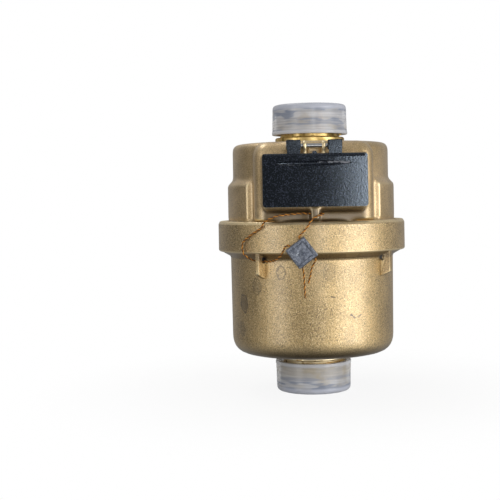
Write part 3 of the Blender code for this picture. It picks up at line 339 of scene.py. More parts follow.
# distances are from the cap's closed end
milkLook = {
    "noises": {
        "lines": (0.9, 2.0, 0.5, (0.03, 0.03, 1.0)), "streak": (1.8, 2.0, 0.55, (0.10, 0.10, 1.2)),
        "cloud": (7.0, 2.0, 0.5, (0.5, 0.5, 2.4)), "warm": (7.0, 2.0, 0.5, (1.0, 0.6, 1.4)),
    },
    "milk": (0.64, 0.65, 0.69), "pale": (0.87, 0.88, 0.92), "blue": (0.22, 0.265, 0.37),
    "amber": (0.66, 0.59, 0.47), "end": (0.58, 0.60, 0.68), "rim": (0.78, 0.80, 0.85),
    "lineStep": (0.35, 0.65), "warmStep": (0.50, 0.68), "cloudStep": (0.46, 0.54), "streakStep": (0.62, 0.48),
    "brassFrom": (4.2, 8.5), "solidTo": (1.6, 3.0), "mouthFrom": (10.6, 11.2),
    "warmShare": 0.45, "blueShare": 0.8, "blueLoss": 1.7, "endShare": 0.85, "rimShare": 0.7,
    "alpha": 0.54, "streakAlpha": 0.12, "blueAlpha": 0.2, "endAlpha": 0.25, "rimAlpha": 0.15,
    "rough": 0.2, "streakRough": 0.12, "bump": (0.06, 0.5),
}


def milkyPlastic(name, closedEnd, warmth):
    # the closed end is solid plastic, and the pipe thread shows dimly through the rest
    look = milkLook
    finish = Finish(name)
    field = finish.noises(look["noises"])
    away = finish.size(finish.axis(finish.place, "Z") - closedEnd)
    brassy = finish.between(away, *look["brassFrom"]) * warmth
    tone = finish.layers(look["milk"], field, (("lines", look["lineStep"], 1.0, look["pale"]),))
    warm = finish.between(field["warm"], *look["warmStep"]) * look["warmShare"]
    tone = finish.mix(warm + brassy, tone, look["amber"])
    patches = finish.between(field["cloud"], *look["cloudStep"]) * (1.0 - brassy * look["blueLoss"])
    blue = patches * finish.between(field["streak"], *look["streakStep"])
    solid = 1.0 - finish.between(away, *look["solidTo"])
    mouth = finish.between(away, *look["mouthFrom"])
    tone = finish.mix(blue * look["blueShare"], tone, look["blue"])
    tone = finish.mix(solid * look["endShare"], tone, look["end"])
    tone = finish.mix(mouth * look["rimShare"], tone, look["rim"])
    alpha = look["alpha"] + field["streak"] * look["streakAlpha"] + blue * look["blueAlpha"]
    alpha = alpha + solid * look["endAlpha"] + mouth * look["rimAlpha"]
    rough = look["rough"] + field["streak"] * look["streakRough"]
    normal = finish.bump(field["lines"], *look["bump"])
    finish.set(Base_Color=tone, Roughness=rough, Alpha=alpha, Normal=normal)
    return finish.material


leadLook = {
    "noises": {"dents": (0.9, 4.0, 0.65), "fine": (0.35, 2.0)},
    "dark": (0.105, 0.12, 0.155), "pale": (0.31, 0.335, 0.39), "edge": (0.62, 0.66, 0.72),
    "dentStep": (0.35, 0.7), "edgeStep": (0.515, 0.55), "edgeBreak": (0.4, 0.6),
    "rough": 0.38, "fineRough": 0.2, "dentBump": (0.16, 0.7), "fineBump": (0.04, 0.5),
}


def leadMetal(name):
    look = leadLook
    finish = Finish(name)
    field = finish.noises(look["noises"])
    tone = finish.layers(look["dark"], field, (("dents", look["dentStep"], 1.0, look["pale"]),))
    edges = finish.between(finish.node("NewGeometry", output="Pointiness"), *look["edgeStep"])
    tone = finish.mix(edges * finish.between(field["dents"], *look["edgeBreak"]), tone, look["edge"])
    normal = finish.bump(field["fine"], *look["fineBump"], finish.bump(field["dents"], *look["dentBump"]))
    rough = look["rough"] + field["fine"] * look["fineRough"]
    finish.set(Base_Color=tone, Metallic=0.75, Roughness=rough, Normal=normal)
    return finish.material


def copperWire(name, bright, tarnished):
    finish = Finish(name)
    tarnish = finish.noise(1.4)
    tone = finish.mix(finish.between(tarnish, 0.42, 0.72), bright, tarnished)
    finish.set(Base_Color=tone, Metallic=0.4, Roughness=0.32 + tarnish * 0.2)
    return finish.material


def plainPlastic(name, colour, shade, rough):
    finish = Finish(name)
    cloud = finish.noise(4.0)
    grain = finish.noise(0.4, 2.0)
    tone = finish.mix(finish.between(cloud, 0.3, 0.75), colour, shade)
    finish.set(Base_Color=tone, Roughness=rough + cloud * 0.12, Normal=finish.bump(grain, 0.02, 0.4))
    return finish.material


def drawnMetal(name, colour, rough):
    finish = Finish(name)
    lines = finish.noise(0.8, 3.0, 0.6, (0.1, 1.0, 1.0))
    tone = finish.mix(lines, colour, tuple(value * 0.7 for value in colour))
    normal = finish.bump(lines, 0.01, 0.4)
    finish.set(Base_Color=tone, Metallic=1.0, Roughness=rough + lines * 0.18, Normal=normal)
    return finish.material


def windowGlass(name):
    finish = Finish(name)
    dust = finish.noise(2.0, 4.0)
    rough = 0.03 + finish.between(dust, 0.55, 0.8) * 0.12
    finish.set(Base_Color=(0.95, 0.97, 0.97), Roughness=rough, Alpha=0.08 + dust * 0.06)
    return finish.material


def printInk(name, colour):
    finish = Finish(name)
    fade = finish.noise(0.5, 2.0)
    faded = tuple(value * 1.3 + 0.01 for value in colour)
    finish.set(Base_Color=finish.mix(fade, colour, faded), Roughness=0.5 + fade * 0.1)
    return finish.material


def boxOf(node):
    low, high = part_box(node)
    return Vector(low) / millimetre, Vector(high) / millimetre


finishes = {
    "cast": castBrass("castBrassHead", (0.76, 0.545, 0.28), 0.5, headWear),
    "castCup": castBrass("castBrassCup", (0.70, 0.485, 0.205), 0.85, cupWearAndPaintedLight),
    "machined": machinedBrass(
        "machinedBrass", (0.90, 0.66, 0.27), (0.56, 0.39, 0.13), (0.30, 0.20, 0.06), 0.31
    ),
    # a paler copy of the machined brass, painted lighter to lift the shade on the outlet ring; the collar lip
    # shares it
    "machinedLitCopy": machinedBrass(
        "machinedBrassLitCopy", (1.0, 0.86, 0.58), (1.0, 0.84, 0.54), (0.42, 0.28, 0.12), 0.36
    ),
    "lid": lidPlastic("blackLid"),
    "milkyLow": milkyPlastic("milkyOutletCap", boxOf("outlet_cap")[0].z, 0.5),
    "milkyHigh": milkyPlastic("milkyInletCap", boxOf("inlet_cap")[1].z, 0.1),
    "lead": leadMetal("sealLead"),
    "copper": copperWire("brightCopper", (0.80, 0.34, 0.05), (0.50, 0.21, 0.035)),
    # the second strand of the wire is painted near black as painted shade for the dark gaps of the twist
    "shadedStrandCopper": copperWire("shadedStrandCopper", (0.17, 0.07, 0.025), (0.08, 0.04, 0.018)),
    "white": plainPlastic("whiteMoulding", (0.72, 0.72, 0.69), (0.62, 0.62, 0.58), 0.4),
    "grey": plainPlastic("greyMoulding", (0.32, 0.33, 0.34), (0.25, 0.26, 0.27), 0.42),
    "rubber": plainPlastic("blackRubber", (0.018, 0.018, 0.019), (0.03, 0.03, 0.031), 0.62),
    "steel": drawnMetal("drawnSteel", (0.56, 0.57, 0.58), 0.2),
    "magnet": drawnMetal("sinteredMagnet", (0.09, 0.09, 0.10), 0.5),
    "glass": windowGlass("registerGlass"),
    "ink": printInk("blackPrint", (0.012, 0.012, 0.014)),
    "redInk": printInk("redPrint", (0.42, 0.02, 0.015)),
}
print("finishes made")

replacedNodes = set()


def meshOf(name, bm):
    mesh = bpy.data.meshes.new(name)
    bm.to_mesh(mesh)
    bm.free()
    return mesh


def placed(name, data):
    made = bpy.data.objects.new(name, data)
    bpy.context.scene.collection.objects.link(made)
    return made


def finishPiece(name, shape, finish, body, replaced=(), sharp=38):
    # sharp is the angle in degrees from which an edge stays hard
    mesh = meshOf(name, shape)
    mesh.transform(Matrix.Scale(millimetre, 4))
    piece = placed(name, mesh)
    mesh.shade_smooth()
    if sharp:
        mesh.set_sharp_from_angle(angle=math.radians(sharp))
        level = piece.modifiers.new("flatFaces", "WEIGHTED_NORMAL")
        level.keep_sharp = True
    mesh.materials.append(finishes[finish])
    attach(piece, body)
    if replaced:
        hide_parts(*replaced)
        replacedNodes.update(replaced)
    return piece


def spun(profile):
    # turns a closed loop of (radius, height) round Z
    bm = bmesh.new()
    points = [bm.verts.new((radius, 0.0, height)) for radius, height in profile]
    for first, second in zip(points, points[1:] + points[:1]):
        if max(first.co.x, second.co.x) > mergeReach:
            bm.edges.new((first, second))
    bmesh.ops.spin(
        bm, geom=bm.verts[:] + bm.edges[:], cent=(0, 0, 0), axis=(0, 0, 1),
        angle=2 * math.pi, steps=spinSteps, use_merge=True,
    )
    bmesh.ops.remove_doubles(bm, verts=bm.verts, dist=mergeReach)
    bmesh.ops.recalc_face_normals(bm, faces=bm.faces)
    return bm


def rounded(points, radii, count):
    # a closed profile whose corners get these radii; a corner takes just under half of each side at most
    most = 0.49
    made = []
    for index, (corner, radius) in enumerate(zip(points, radii)):
        here = Vector(corner)
        if not radius:
            made.append(tuple(here))
            continue
        before = Vector(points[index - 1]) - here
        after = Vector(points[(index + 1) % len(points)]) - here
        reach = radius / math.tan(before.angle(after) / 2)
        reach = min(reach, before.length * most, after.length * most)
        start = here + before.normalized() * reach
        end = here + after.normalized() * reach
        for step in range(count + 1):
            part = step / count
            made.append(tuple(start.lerp(here, part).lerp(here.lerp(end, part), part)))
    return made


def bevelled(bm, edges, width, segments):
    bmesh.ops.bevel(
        bm, geom=edges, offset=width, offset_type="OFFSET", segments=segments, profile=0.5,
        affect="EDGES", material=-1,
    )


def block(low, high, width=0.0, segments=3, picked=None):
    # a box; its edges, or those that are picked, are bevelled by the width
    bm = bmesh.new()
    size = Vector(high) - Vector(low)
    middle = (Vector(high) + Vector(low)) / 2
    bmesh.ops.create_cube(bm, size=1.0, matrix=Matrix.Translation(middle) @ Matrix.Diagonal((*size, 1.0)))
    if width:
        bevelled(bm, [edge for edge in bm.edges if picked is None or picked(edge, middle)], width, segments)
    return bm


def bar(radius, start, end, sides=32):
    bm = bmesh.new()
    along = Vector(end) - Vector(start)
    turn = along.to_track_quat("Z", "Y").to_matrix().to_4x4()
    place = Matrix.Translation((Vector(start) + Vector(end)) / 2) @ turn
    bmesh.ops.create_cone(
        bm, cap_ends=True, segments=sides, radius1=radius, radius2=radius, depth=along.length, matrix=place
    )
    return bm


def slab(outline, thickness, width):
    # an outline of (x, z) points, made this thick along Y and bevelled all round
    bm = bmesh.new()
    face = bm.faces.new([bm.verts.new((x, -thickness / 2, z)) for x, z in outline])
    made = bmesh.ops.extrude_face_region(bm, geom=[face])
    moving = [item for item in made["geom"] if isinstance(item, bmesh.types.BMVert)]
    bmesh.ops.translate(bm, verts=moving, vec=(0, thickness, 0))
    bmesh.ops.recalc_face_normals(bm, faces=bm.faces)
    bevelled(bm, bm.edges[:], width, 3)
    return bm


def turned(bm, degrees, axis="Z"):
    turn = Matrix.Rotation(math.radians(degrees), 3, axis)
    bmesh.ops.rotate(bm, verts=bm.verts, cent=(0, 0, 0), matrix=turn)
    return bm


def evaluated(source):
    # the mesh that Blender makes of an object, which is then removed
    bpy.context.view_layer.update()
    graph = bpy.context.evaluated_depsgraph_get()
    mesh = bpy.data.meshes.new_from_object(source.evaluated_get(graph))
    bpy.data.objects.remove(source)
    return mesh


def carved(base, added=(), removed=(), voxel=0.0, smoothing=0, bevel=0.0):
    # joins and cuts shapes, then softens the result; returns a bmesh
    core = placed("core", meshOf("core", base))
    others = []
    for group, operation in ((added, "UNION"), (removed, "DIFFERENCE")):
        for shape in group:
            step = core.modifiers.new(operation.lower(), "BOOLEAN")
            step.operation = operation
            step.solver = "EXACT"
            step.object = placed("cutter", meshOf("cutter", shape))
            others.append(step.object)
    if bevel:
        soften = core.modifiers.new("soften", "BEVEL")
        soften.width = bevel
        soften.segments = 3
        soften.limit_method = "ANGLE"
        soften.angle_limit = math.radians(40)
        soften.harden_normals = False
    if voxel:
        remesh = core.modifiers.new("remesh", "REMESH")
        remesh.mode = "VOXEL"
        remesh.voxel_size = voxel
    if smoothing:
        smooth = core.modifiers.new("smooth", "SMOOTH")
        smooth.factor = 0.5
        smooth.iterations = smoothing
    mesh = evaluated(core)
    bm = bmesh.new()
    bm.from_mesh(mesh)
    bpy.data.meshes.remove(mesh)
    for other in others:
        bpy.data.objects.remove(other)
    return bm


def ends(edge):
    return [point.co for point in edge.verts]


def isAlong(edge, axis):
    # true where an edge spans more than a millimetre along an axis
    first, second = ends(edge)
    return abs(first[axis] - second[axis]) > 1


# the upper casting
pin = {"y": -35.0, "z": 98.8, "radius": 0.8, "half": 10.8, "bevel": 0.15, "sides": 40}


def pinBar(radius, left, right, sides=32):
    return bar(radius, (left, pin["y"], pin["z"]), (right, pin["y"], pin["z"]), sides)


head = {
    "radius": 31.9, "top": 101.0, "crown": 101.5, "crownRadius": 16.0, "crownCorner": 3, "shoulder": 5.0,
    "bottom": 70.2, "skirtRadius": 34.3, "skirtBottom": 60.3, "skirtBore": 29.5, "roof": 66.0, "arcPoints": 9,
    "blockHalf": 23.3, "blockFront": -31.5, "blockBack": 2.0, "blockEdge": 5.6, "blockSegments": 8,
    "padRadius": 34.1, "padRoot": 25.0, "padBottom": 70.5, "padTop": 84.2, "padSlope": 87.1, "padHalf": 21.9,
    "trayHalf": 19.9, "trayFront": -36.5, "trayBack": -24.0, "trayBottom": 73.8, "trayTop": 95.0,
    "trayEdge": 2.6, "traySegments": 5,
    "inside": -28.0, "ribHalf": 1.75, "ribFront": -36.9, "ribTop": 75.2, "ribEdge": 0.4,
    "earAt": 3.6, "earHalf": 1.0, "earRadius": 2.2, "earFront": 1.4, "earBottom": 93.0, "earEdge": 0.25,
    "pinHole": (1.1, -6, 6),
    "caseGap": 0.3, "caseFloorGap": 0.25, "caseSideGap": 0.35, "pocketFront": -40.0, "pocketBack": -9.9,
    "lowPocketFront": -12.0, "lowPocketTop": 91.2,
    "well": (9.5, (0, 0, 69.4), (0, 0, 79.0), 48), "inlet": (8.5, (0, 0, 92.4), (0, 0, 110.0), 64),
    "channel": ((-9.0, 0.0, 92.8), (9.0, 20.0, 98.5)), "slot": ((-12.0, 12.5, 64.0), (12.0, 26.0, 98.9)),
    "wetPivot": (1.3, (0, 0, 65.0), (0, 0, 67.0)), "dryPivot": (1.0, (0, 0, 68.4), (0, 0, 70.0)),
    "ribHole": (0.85, (-5, -34.5, 72.8), (5, -34.5, 72.8)),
    "voxel": 0.62, "smoothing": 5,
}


def headBody():
    # the dome, the front block and the wrench pads
    h = head
    outline = [
        (0.0, h["crown"]), (h["crownRadius"], h["crown"]),
        (h["radius"] - h["shoulder"] - 1.5, h["top"]), (h["radius"], h["top"]),
        (h["radius"], h["bottom"] - 0.3), (h["skirtRadius"], h["bottom"] - 0.7),
        (h["skirtRadius"], h["skirtBottom"]), (h["skirtBore"], h["skirtBottom"]),
        (h["skirtBore"], h["roof"]), (0.0, h["roof"]),
    ]
    dome = spun(rounded(outline, (0, 0, h["crownCorner"], h["shoulder"], 0, 0, 0, 0, 0, 0), h["arcPoints"]))

    def outerEdge(edge, middle):
        top = all(point.z > middle.z for point in ends(edge))
        front = all(point.y < middle.y for point in ends(edge))
        return (isAlong(edge, 2) and front) or (top and (front or isAlong(edge, 1)))

    front = block(
        (-h["blockHalf"], h["blockFront"], h["bottom"]), (h["blockHalf"], h["blockBack"], h["top"] - 0.1),
        h["blockEdge"], h["blockSegments"], outerEdge,
    )
    pads = spun([
        (h["padRoot"], h["padBottom"]), (h["padRadius"], h["padBottom"]), (h["padRadius"], h["padTop"]),
        (h["radius"] - 0.6, h["padSlope"]), (h["padRoot"], h["padSlope"]),
    ])
    reach, low, high = 40.0, 60.0, 90.0
    flats = [
        block((-reach, -reach, low), (reach, -h["padHalf"], high)),
        block((-reach, h["padHalf"], low), (reach, reach, high)),
    ]
    return dome, front, carved(pads, (), flats)


def registerTray():
    # the tray with the seal rib under it and the two ears over it
    h = head

    def lowEdge(edge, middle):
        low = all(point.z < middle.z for point in ends(edge))
        front = all(point.y < middle.y for point in ends(edge))
        return low and (front or isAlong(edge, 1))

    tray = block(
        (-h["trayHalf"], h["trayFront"], h["trayBottom"]), (h["trayHalf"], h["trayBack"], h["trayTop"]),
        h["trayEdge"], h["traySegments"], lowEdge,
    )
    ribLow = (-h["ribHalf"], h["ribFront"], h["bottom"] + 0.2)
    made = [tray, block(ribLow, (h["ribHalf"], h["inside"], h["ribTop"]), h["ribEdge"], 2)]
    for centre in (-h["earAt"], h["earAt"]):
        left = centre - h["earHalf"]
        right = centre + h["earHalf"]
        earLow = (left, pin["y"] - h["earFront"], h["earBottom"])
        made.append(block(earLow, (right, h["inside"], pin["z"]), h["earEdge"], 1))
        made.append(pinBar(h["earRadius"], left, right))
    return made


def headHollows():
    h = head
    low, high = boxOf("register_case")
    gap = h["caseGap"]
    pocket = block(
        (low.x - gap, h["pocketFront"], low.z - gap), (high.x + gap, h["pocketBack"], high.z + gap)
    )
    lowPocket = block(
        (low.x - gap, h["lowPocketFront"], low.z - h["caseFloorGap"]),
        (high.x + h["caseSideGap"], high.y + gap, h["lowPocketTop"]),
    )
    return [
        pocket, lowPocket, bar(*h["well"]), bar(*h["inlet"]), block(*h["channel"]), block(*h["slot"]),
        bar(*h["wetPivot"]), bar(*h["dryPivot"]), pinBar(*h["pinHole"]), bar(*h["ribHole"]),
    ]


def headCasting():
    dome, front, pads = headBody()
    shape = carved(dome, [front, pads] + registerTray(), headHollows(), head["voxel"], head["smoothing"])
    finishPiece("headCasting", shape, "cast", "meter_body", ["head_body"], None)


# the lower casting; radii and heights, then the four sealing lugs
cup = {
    "radius": 33.3, "lower": 32.9, "corner": 7.5, "bottom": 15.9, "bore": 29.5, "floor": 19.5,
    "floorCorner": 4.0, "neckRadius": 14.8, "neckTop": 14.6, "outlet": 8.5, "outletMouth": 10.5,
    "collar": 38.2, "collarBottom": 57.7, "collarTop": 69.8, "lip": 37.6, "collarBore": 34.6, "ledge": 58.5,
    "rootTop": 55.6, "rootBottom": 54.8, "arcPoints": 8,
    "lugAngles": (-37.0, 53.0, 143.0, -127.0), "lugRadius": 37.5, "lugBottom": 47.6, "lugCorner": 49.0,
    "lugRoot": 31.0, "lugFoot": 33.4, "lugThickness": 2.1, "lugEdge": 0.32, "lugTaper": 0.8,
    "holeAt": 34.2, "holeHeight": 54.9, "holeRadius": 1.15, "holeHalf": 2.0,
}
# the machined lip on the collar's top
lip = {"outline": ((34.7, 69.8), (37.3, 69.8), (37.75, 69.3), (37.75, 68.9), (34.7, 68.9)), "corner": 0.2}


def cupBowl():
    c = cup
    top = c["collarTop"] - 0.1
    corners = [
        ((c["collarBore"], top), 0), ((c["lip"], top), 0.4), ((c["collar"], c["collarTop"] - 1.2), 0.6),
        ((c["collar"], c["collarBottom"]), 1.2), ((c["collar"] - 1.4, c["collarBottom"] - 0.3), 0.5),
        ((c["radius"] + 0.3, c["rootTop"]), 0.8), ((c["radius"], c["rootBottom"]), 0.8),
        ((c["lower"], c["bottom"]), c["corner"]), ((c["neckRadius"], c["bottom"]), 0),
        ((c["neckRadius"] - 0.6, c["neckTop"]), 0), ((c["outlet"], c["neckTop"]), 0),
        ((c["outlet"], c["floor"] - 2.0), 0), ((c["outletMouth"], c["floor"]), 0),
        ((c["bore"], c["floor"]), c["floorCorner"]), ((c["bore"], c["ledge"]), 0),
        ((c["collarBore"], c["ledge"]), 0),
    ]
    return spun(rounded(*zip(*corners), c["arcPoints"]))


def cupCasting():
    c = cup
    lugTop = c["collarBottom"] + 1
    outline = [
        (c["lugRoot"], lugTop), (c["lugRadius"], lugTop), (c["lugRadius"], c["lugCorner"] + 0.6),
        (c["lugRadius"] - 0.6, c["lugCorner"]), (c["lugFoot"], c["lugBottom"]),
        (c["lugRoot"], c["lugBottom"]),
    ]
    lugs = []
    holes = []
    for angle in c["lugAngles"]:
        lug = slab(outline, c["lugThickness"], c["lugEdge"])
        for point in lug.verts:
            if point.co.x > c["lugRadius"] - 1.2:
                point.co.y *= c["lugTaper"]
        lugs.append(turned(lug, angle - 90))
        start, end = ((c["holeAt"], side * c["holeHalf"], c["holeHeight"]) for side in (-1, 1))
        holes.append(turned(bar(c["holeRadius"], start, end, 24), angle - 90))
    shape = carved(cupBowl(), lugs, holes)
    finishPiece("cupCasting", shape, "castCup", "meter_body", ["cup_body"], 32)
    ring = spun(rounded(lip["outline"], (0, lip["corner"], lip["corner"], 0, 0), 3))
    finishPiece("collarLip", ring, "machinedLitCopy", "meter_body")


# machined pipe ends, with their threads; heights are along the outward axis
pipeEnd = {
    "crest": 13.2, "crestHalf": 0.14, "root": 12.06, "sunk": 0.2, "flank": 0.98, "pitch": 1.814,
    "stepsATurn": 60, "bore": 8.5, "ring": 14.2, "chamfer": 0.6, "boreChamfer": 0.3, "ringChamfer": 0.4,
    "threadStart": 1.3, "runOut": 1.2, "threadEnd": 1.6,
    "inletRing": (100.6, 103.5), "outletRing": (-15.7, -13.2),
}


def threadRidge(start, turns):
    e = pipeEnd
    half = e["pitch"] / 2 * e["flank"]
    inner = e["root"] - e["sunk"]
    section = ((inner, -half), (e["crest"], -e["crestHalf"]), (e["crest"], e["crestHalf"]), (inner, half))
    thread = bmesh.new()
    face = thread.faces.new([thread.verts.new((radius, 0, start + height)) for radius, height in section])
    steps = round(turns * e["stepsATurn"])
    bmesh.ops.spin(
        thread, geom=[face] + face.edges[:] + face.verts[:], cent=(0, 0, 0), axis=(0, 0, 1),
        dvec=(0, 0, e["pitch"] / e["stepsATurn"]), angle=steps / e["stepsATurn"] * 2 * math.pi, steps=steps,
    )
    bmesh.ops.recalc_face_normals(thread, faces=thread.faces)
    return meshOf("thread", thread)


def threadedEnd(face, ringLow, ringHigh):
    e = pipeEnd
    neck = spun([
        (e["ring"] - 0.1, ringLow), (e["ring"], ringLow + 0.3),
        (e["ring"], ringHigh - e["ringChamfer"]), (e["ring"] - e["ringChamfer"], ringHigh),
        (e["root"] + 0.1, ringHigh + 0.2), (e["root"], ringHigh + 0.8),
        (e["root"], face - e["chamfer"]), (e["root"] - e["chamfer"], face),
        (e["bore"] + e["boreChamfer"], face), (e["bore"], face - e["boreChamfer"]), (e["bore"], ringLow),
    ])
    turns = (face - e["threadEnd"] - ringHigh - e["runOut"]) / e["pitch"]
    neck.from_mesh(threadRidge(ringHigh + e["threadStart"], turns))
    return neck


def pipeEnds():
    upper = threadedEnd(boxOf("head_body")[1].z, *pipeEnd["inletRing"])
    finishPiece("inletEnd", upper, "machined", "meter_body", (), 30)
    lower = turned(threadedEnd(-boxOf("cup_body")[0].z, *pipeEnd["outletRing"]), 180, "X")
    finishPiece("outletEnd", lower, "machinedLitCopy", "meter_body", (), 30)


# push-on caps; heights are from the closed end
cap = {
    "outer": 15.6, "inner": 13.55, "height": 12.3, "end": 1.2, "edge": 1.8, "rim": 1.1, "step": 1.4,
    "arcPoints": 6,
}


def milkyCaps():
    c = cap
    corners = [
        ((0.0, c["end"]), 0), ((c["inner"], c["end"]), 0.8), ((c["inner"] + 0.1, c["height"]), 0.3),
        ((c["outer"] - 0.1, c["height"]), 0.35), ((c["outer"] - 0.1, c["height"] - c["rim"]), 0.2),
        ((c["outer"] - 0.25, c["height"] - c["step"]), 0.2), ((c["outer"] - 0.5, 0.0), c["edge"]),
        ((0.0, 0.0), 0),
    ]
    profile = rounded(*zip(*corners), c["arcPoints"])
    top = boxOf("inlet_cap")[1].z
    for name, body, base, side, finish in (
        ("outletCap", "outlet_cap", 0.0, 1, "milkyLow"), ("inletCap", "inlet_cap", top, -1, "milkyHigh"),
    ):
        shape = spun([(radius, base + side * height) for radius, height in profile])
        finishPiece(name, shape, finish, body, [body])


# lid with its arms, and the hinge pin
lid = {
    "half": 19.95, "low": 75.5, "high": 95.8, "back": -36.8, "front": -39.3,
    "corner": 1.1, "cornerSegments": 5, "topRound": 1.5, "topSegments": 6, "softness": 0.28,
    "arm": 7.9, "armWidth": 5.5, "armInset": 0.25, "armDepth": 0.9,
    "knuckle": (-37.6, -32.8), "knuckleBelow": 1.7, "knuckleAbove": 2.2, "knuckleEdge": 0.4,
    "nub": 0.95, "groove": (15.2, 1.0, 1.0), "grooveAt": (-1.0, 92.0), "pinHole": (1.1, -12, 12),
    "notchHalf": 0.6, "notch": (-38.5, -37.3), "notchHeights": (0.2, 1.4),
}


def lidPlate():
    d = lid
    plate = block(
        (-d["half"], d["front"], d["low"]), (d["half"], d["back"], d["high"]),
        d["corner"], d["cornerSegments"], lambda edge, middle: isAlong(edge, 1),
    )
    topFront = [
        edge for edge in plate.edges
        if all(point.y < d["back"] - 2 and point.z > d["high"] - 0.1 for point in ends(edge))
    ]
    bevelled(plate, topFront, d["topRound"], d["topSegments"])
    return plate


def registerLid():
    d = lid
    added = []
    notches = []
    for centre in (-d["arm"], d["arm"]):
        left = centre - d["armWidth"] / 2
        right = centre + d["armWidth"] / 2
        armLow = (left + d["armInset"], d["front"] + d["armDepth"], d["high"] - 1.5)
        added.append(block(armLow, (right - d["armInset"], d["back"] - 0.1, pin["z"])))
        knuckleLow = (left, d["knuckle"][0], pin["z"] - d["knuckleBelow"])
        knuckleHigh = (right, d["knuckle"][1], pin["z"] + d["knuckleAbove"])
        added.append(block(knuckleLow, knuckleHigh, d["knuckleEdge"]))
        low, high = (
            (centre + side * d["notchHalf"], y, pin["z"] + height)
            for side, y, height in zip((-1, 1), d["notch"], d["notchHeights"])
        )
        notches.append(block(low, high))
    nubEnds = ((0, d["front"] + d["armDepth"], d["high"]), (0, d["back"] - 0.3, d["high"]))
    added.append(bar(d["nub"], *nubEnds, 24))
    groove = bmesh.new()
    x, z = d["grooveAt"]
    place = Matrix.Translation((x, d["front"] - 0.1, z)) @ Matrix.Diagonal((*d["groove"], 1.0))
    bmesh.ops.create_uvsphere(groove, u_segments=64, v_segments=24, radius=1.0, matrix=place)
    shape = carved(lidPlate(), added, [groove, pinBar(*d["pinHole"])] + notches, bevel=d["softness"])
    finishPiece("registerLid", shape, "lid", "lid", ["lid"], 32)


def hingePin():
    rod = pinBar(pin["radius"], -pin["half"], pin["half"], pin["sides"])
    finishPiece("hingePin", carved(rod, bevel=pin["bevel"]), "steel", "meter_body", ["hinge_pin"])


# sealing wire of two twisted strands, and its lead seal
wireRoute = (
    (-4.4, -35.7, 41.0), (-4.8, -38.2, 48.4), (-5.3, -39.85, 52.3), (-7.45, -39.85, 56.3),
    (-9.6, -39.85, 60.3), (-10.8, -39.4, 61.1), (-12.0, -38.6, 60.1), (-13.2, -37.4, 57.6),
    (-15.1, -34.6, 55.6), (-17.3, -30.6, 54.7), (-19.2, -28.8, 54.6), (-22.4, -26.4, 54.6),
    (-24.4, -26.6, 55.2), (-26.4, -28.0, 56.4), (-27.7, -27.9, 57.9), (-28.1, -27.5, 61.1),
    (-27.3, -28.3, 62.7), (-24.0, -31.0, 65.5), (-20.8, -33.2, 67.7), (-19.9, -33.8, 69.3),
    (-18.3, -34.9, 70.7), (-16.1, -35.9, 71.6), (-13.9, -36.4, 72.3), (-5.7, -35.2, 73.0),
    (-2.4, -34.5, 72.8), (1.4, -34.5, 72.8), (2.9, -35.3, 72.8), (2.7, -37.4, 72.5),
    (0.9, -38.4, 72.0), (-1.2, -39.0, 70.9), (-3.5, -39.2, 67.6), (-5.1, -39.5, 65.8),
    (-6.4, -39.85, 64.2), (-4.9, -39.85, 62.1), (-2.4, -39.85, 58.6), (-0.5, -39.85, 55.9),
    (-0.9, -39.3, 54.4), (-1.9, -38.6, 52.4), (-2.3, -37.6, 49.9), (-3.1, -36.4, 46.4),
)
wire = {"radius": 0.38, "strand": 0.2, "lay": 2.3, "step": 0.25, "bevelSteps": 2, "curveParts": 20}
# a dent is the size and height of its waves
seal = {
    "centre": (-5.6, -39.9, 58.3), "side": 9.0, "thick": 3.2, "tilt": -36.9, "edge": 0.55,
    "border": 1.3, "recess": 0.4, "dishEdge": 0.3, "voxel": 0.16, "smoothing": 3,
    "dents": ((0.45, 0.22), (1.3, 0.07)), "dentOffset": 0.03,
}


def smoothRoute(points, step):
    # evenly spaced points on a smooth curve through the given ones
    path = [Vector(point) for point in points]
    parts = wire["curveParts"]
    fine = []
    for index in range(len(path) - 1):
        before, here = path[max(index - 1, 0)], path[index]
        there, after = path[index + 1], path[min(index + 2, len(path) - 1)]
        for part in range(parts):
            t = part / parts
            first = (there - before) * t
            second = (2 * before - 5 * here + 4 * there - after) * t * t
            third = (3 * here - before - 3 * there + after) * t**3
            fine.append((2 * here + first + second + third) / 2)
    fine.append(path[-1])
    spaced = [fine[0]]
    left = step
    for first, second in zip(fine, fine[1:]):
        length = (second - first).length
        while left <= length:
            spaced.append(first.lerp(second, left / length))
            left += step
        left -= length
    return spaced


def twistedStrands(path):
    across = Vector((1, 0, 0))
    strands = [[], []]
    for index, point in enumerate(path):
        forward = (path[min(index + 1, len(path) - 1)] - path[max(index - 1, 0)]).normalized()
        across = (across - forward * across.dot(forward)).normalized()
        angle = 2 * math.pi * index * wire["step"] / wire["lay"]
        outward = across * math.cos(angle) + forward.cross(across) * math.sin(angle)
        offset = outward * (wire["radius"] - wire["strand"])
        strands[0].append(point + offset)
        strands[1].append(point - offset)
    return strands


def sealingWire():
    path = smoothRoute(wireRoute, wire["step"])
    length = sum((second - first).length for first, second in zip(path, path[1:]))
    bm = bmesh.new()
    for shade, strand in enumerate(twistedStrands(path)):
        curve = bpy.data.curves.new("strand", "CURVE")
        curve.dimensions = "3D"
        curve.bevel_depth = wire["strand"]
        curve.bevel_resolution = wire["bevelSteps"]
        curve.use_fill_caps = True
        spline = curve.splines.new("POLY")
        spline.points.add(len(strand) - 1)
        for point, place in zip(spline.points, strand):
            point.co = (*place, 1.0)
        mesh = evaluated(placed("strand", curve))
        for face in mesh.polygons:
            face.material_index = shade
        bm.from_mesh(mesh)
    bmesh.ops.recalc_face_normals(bm, faces=bm.faces)
    piece = finishPiece("twistedWire", bm, "copper", "meter_body", ["seal_wire"], None)
    # the second strand takes the dark copper, painted shade for the gaps of the twist
    piece.data.materials.append(finishes["shadedStrandCopper"])
    return piece, [point * millimetre for point in path], length * millimetre


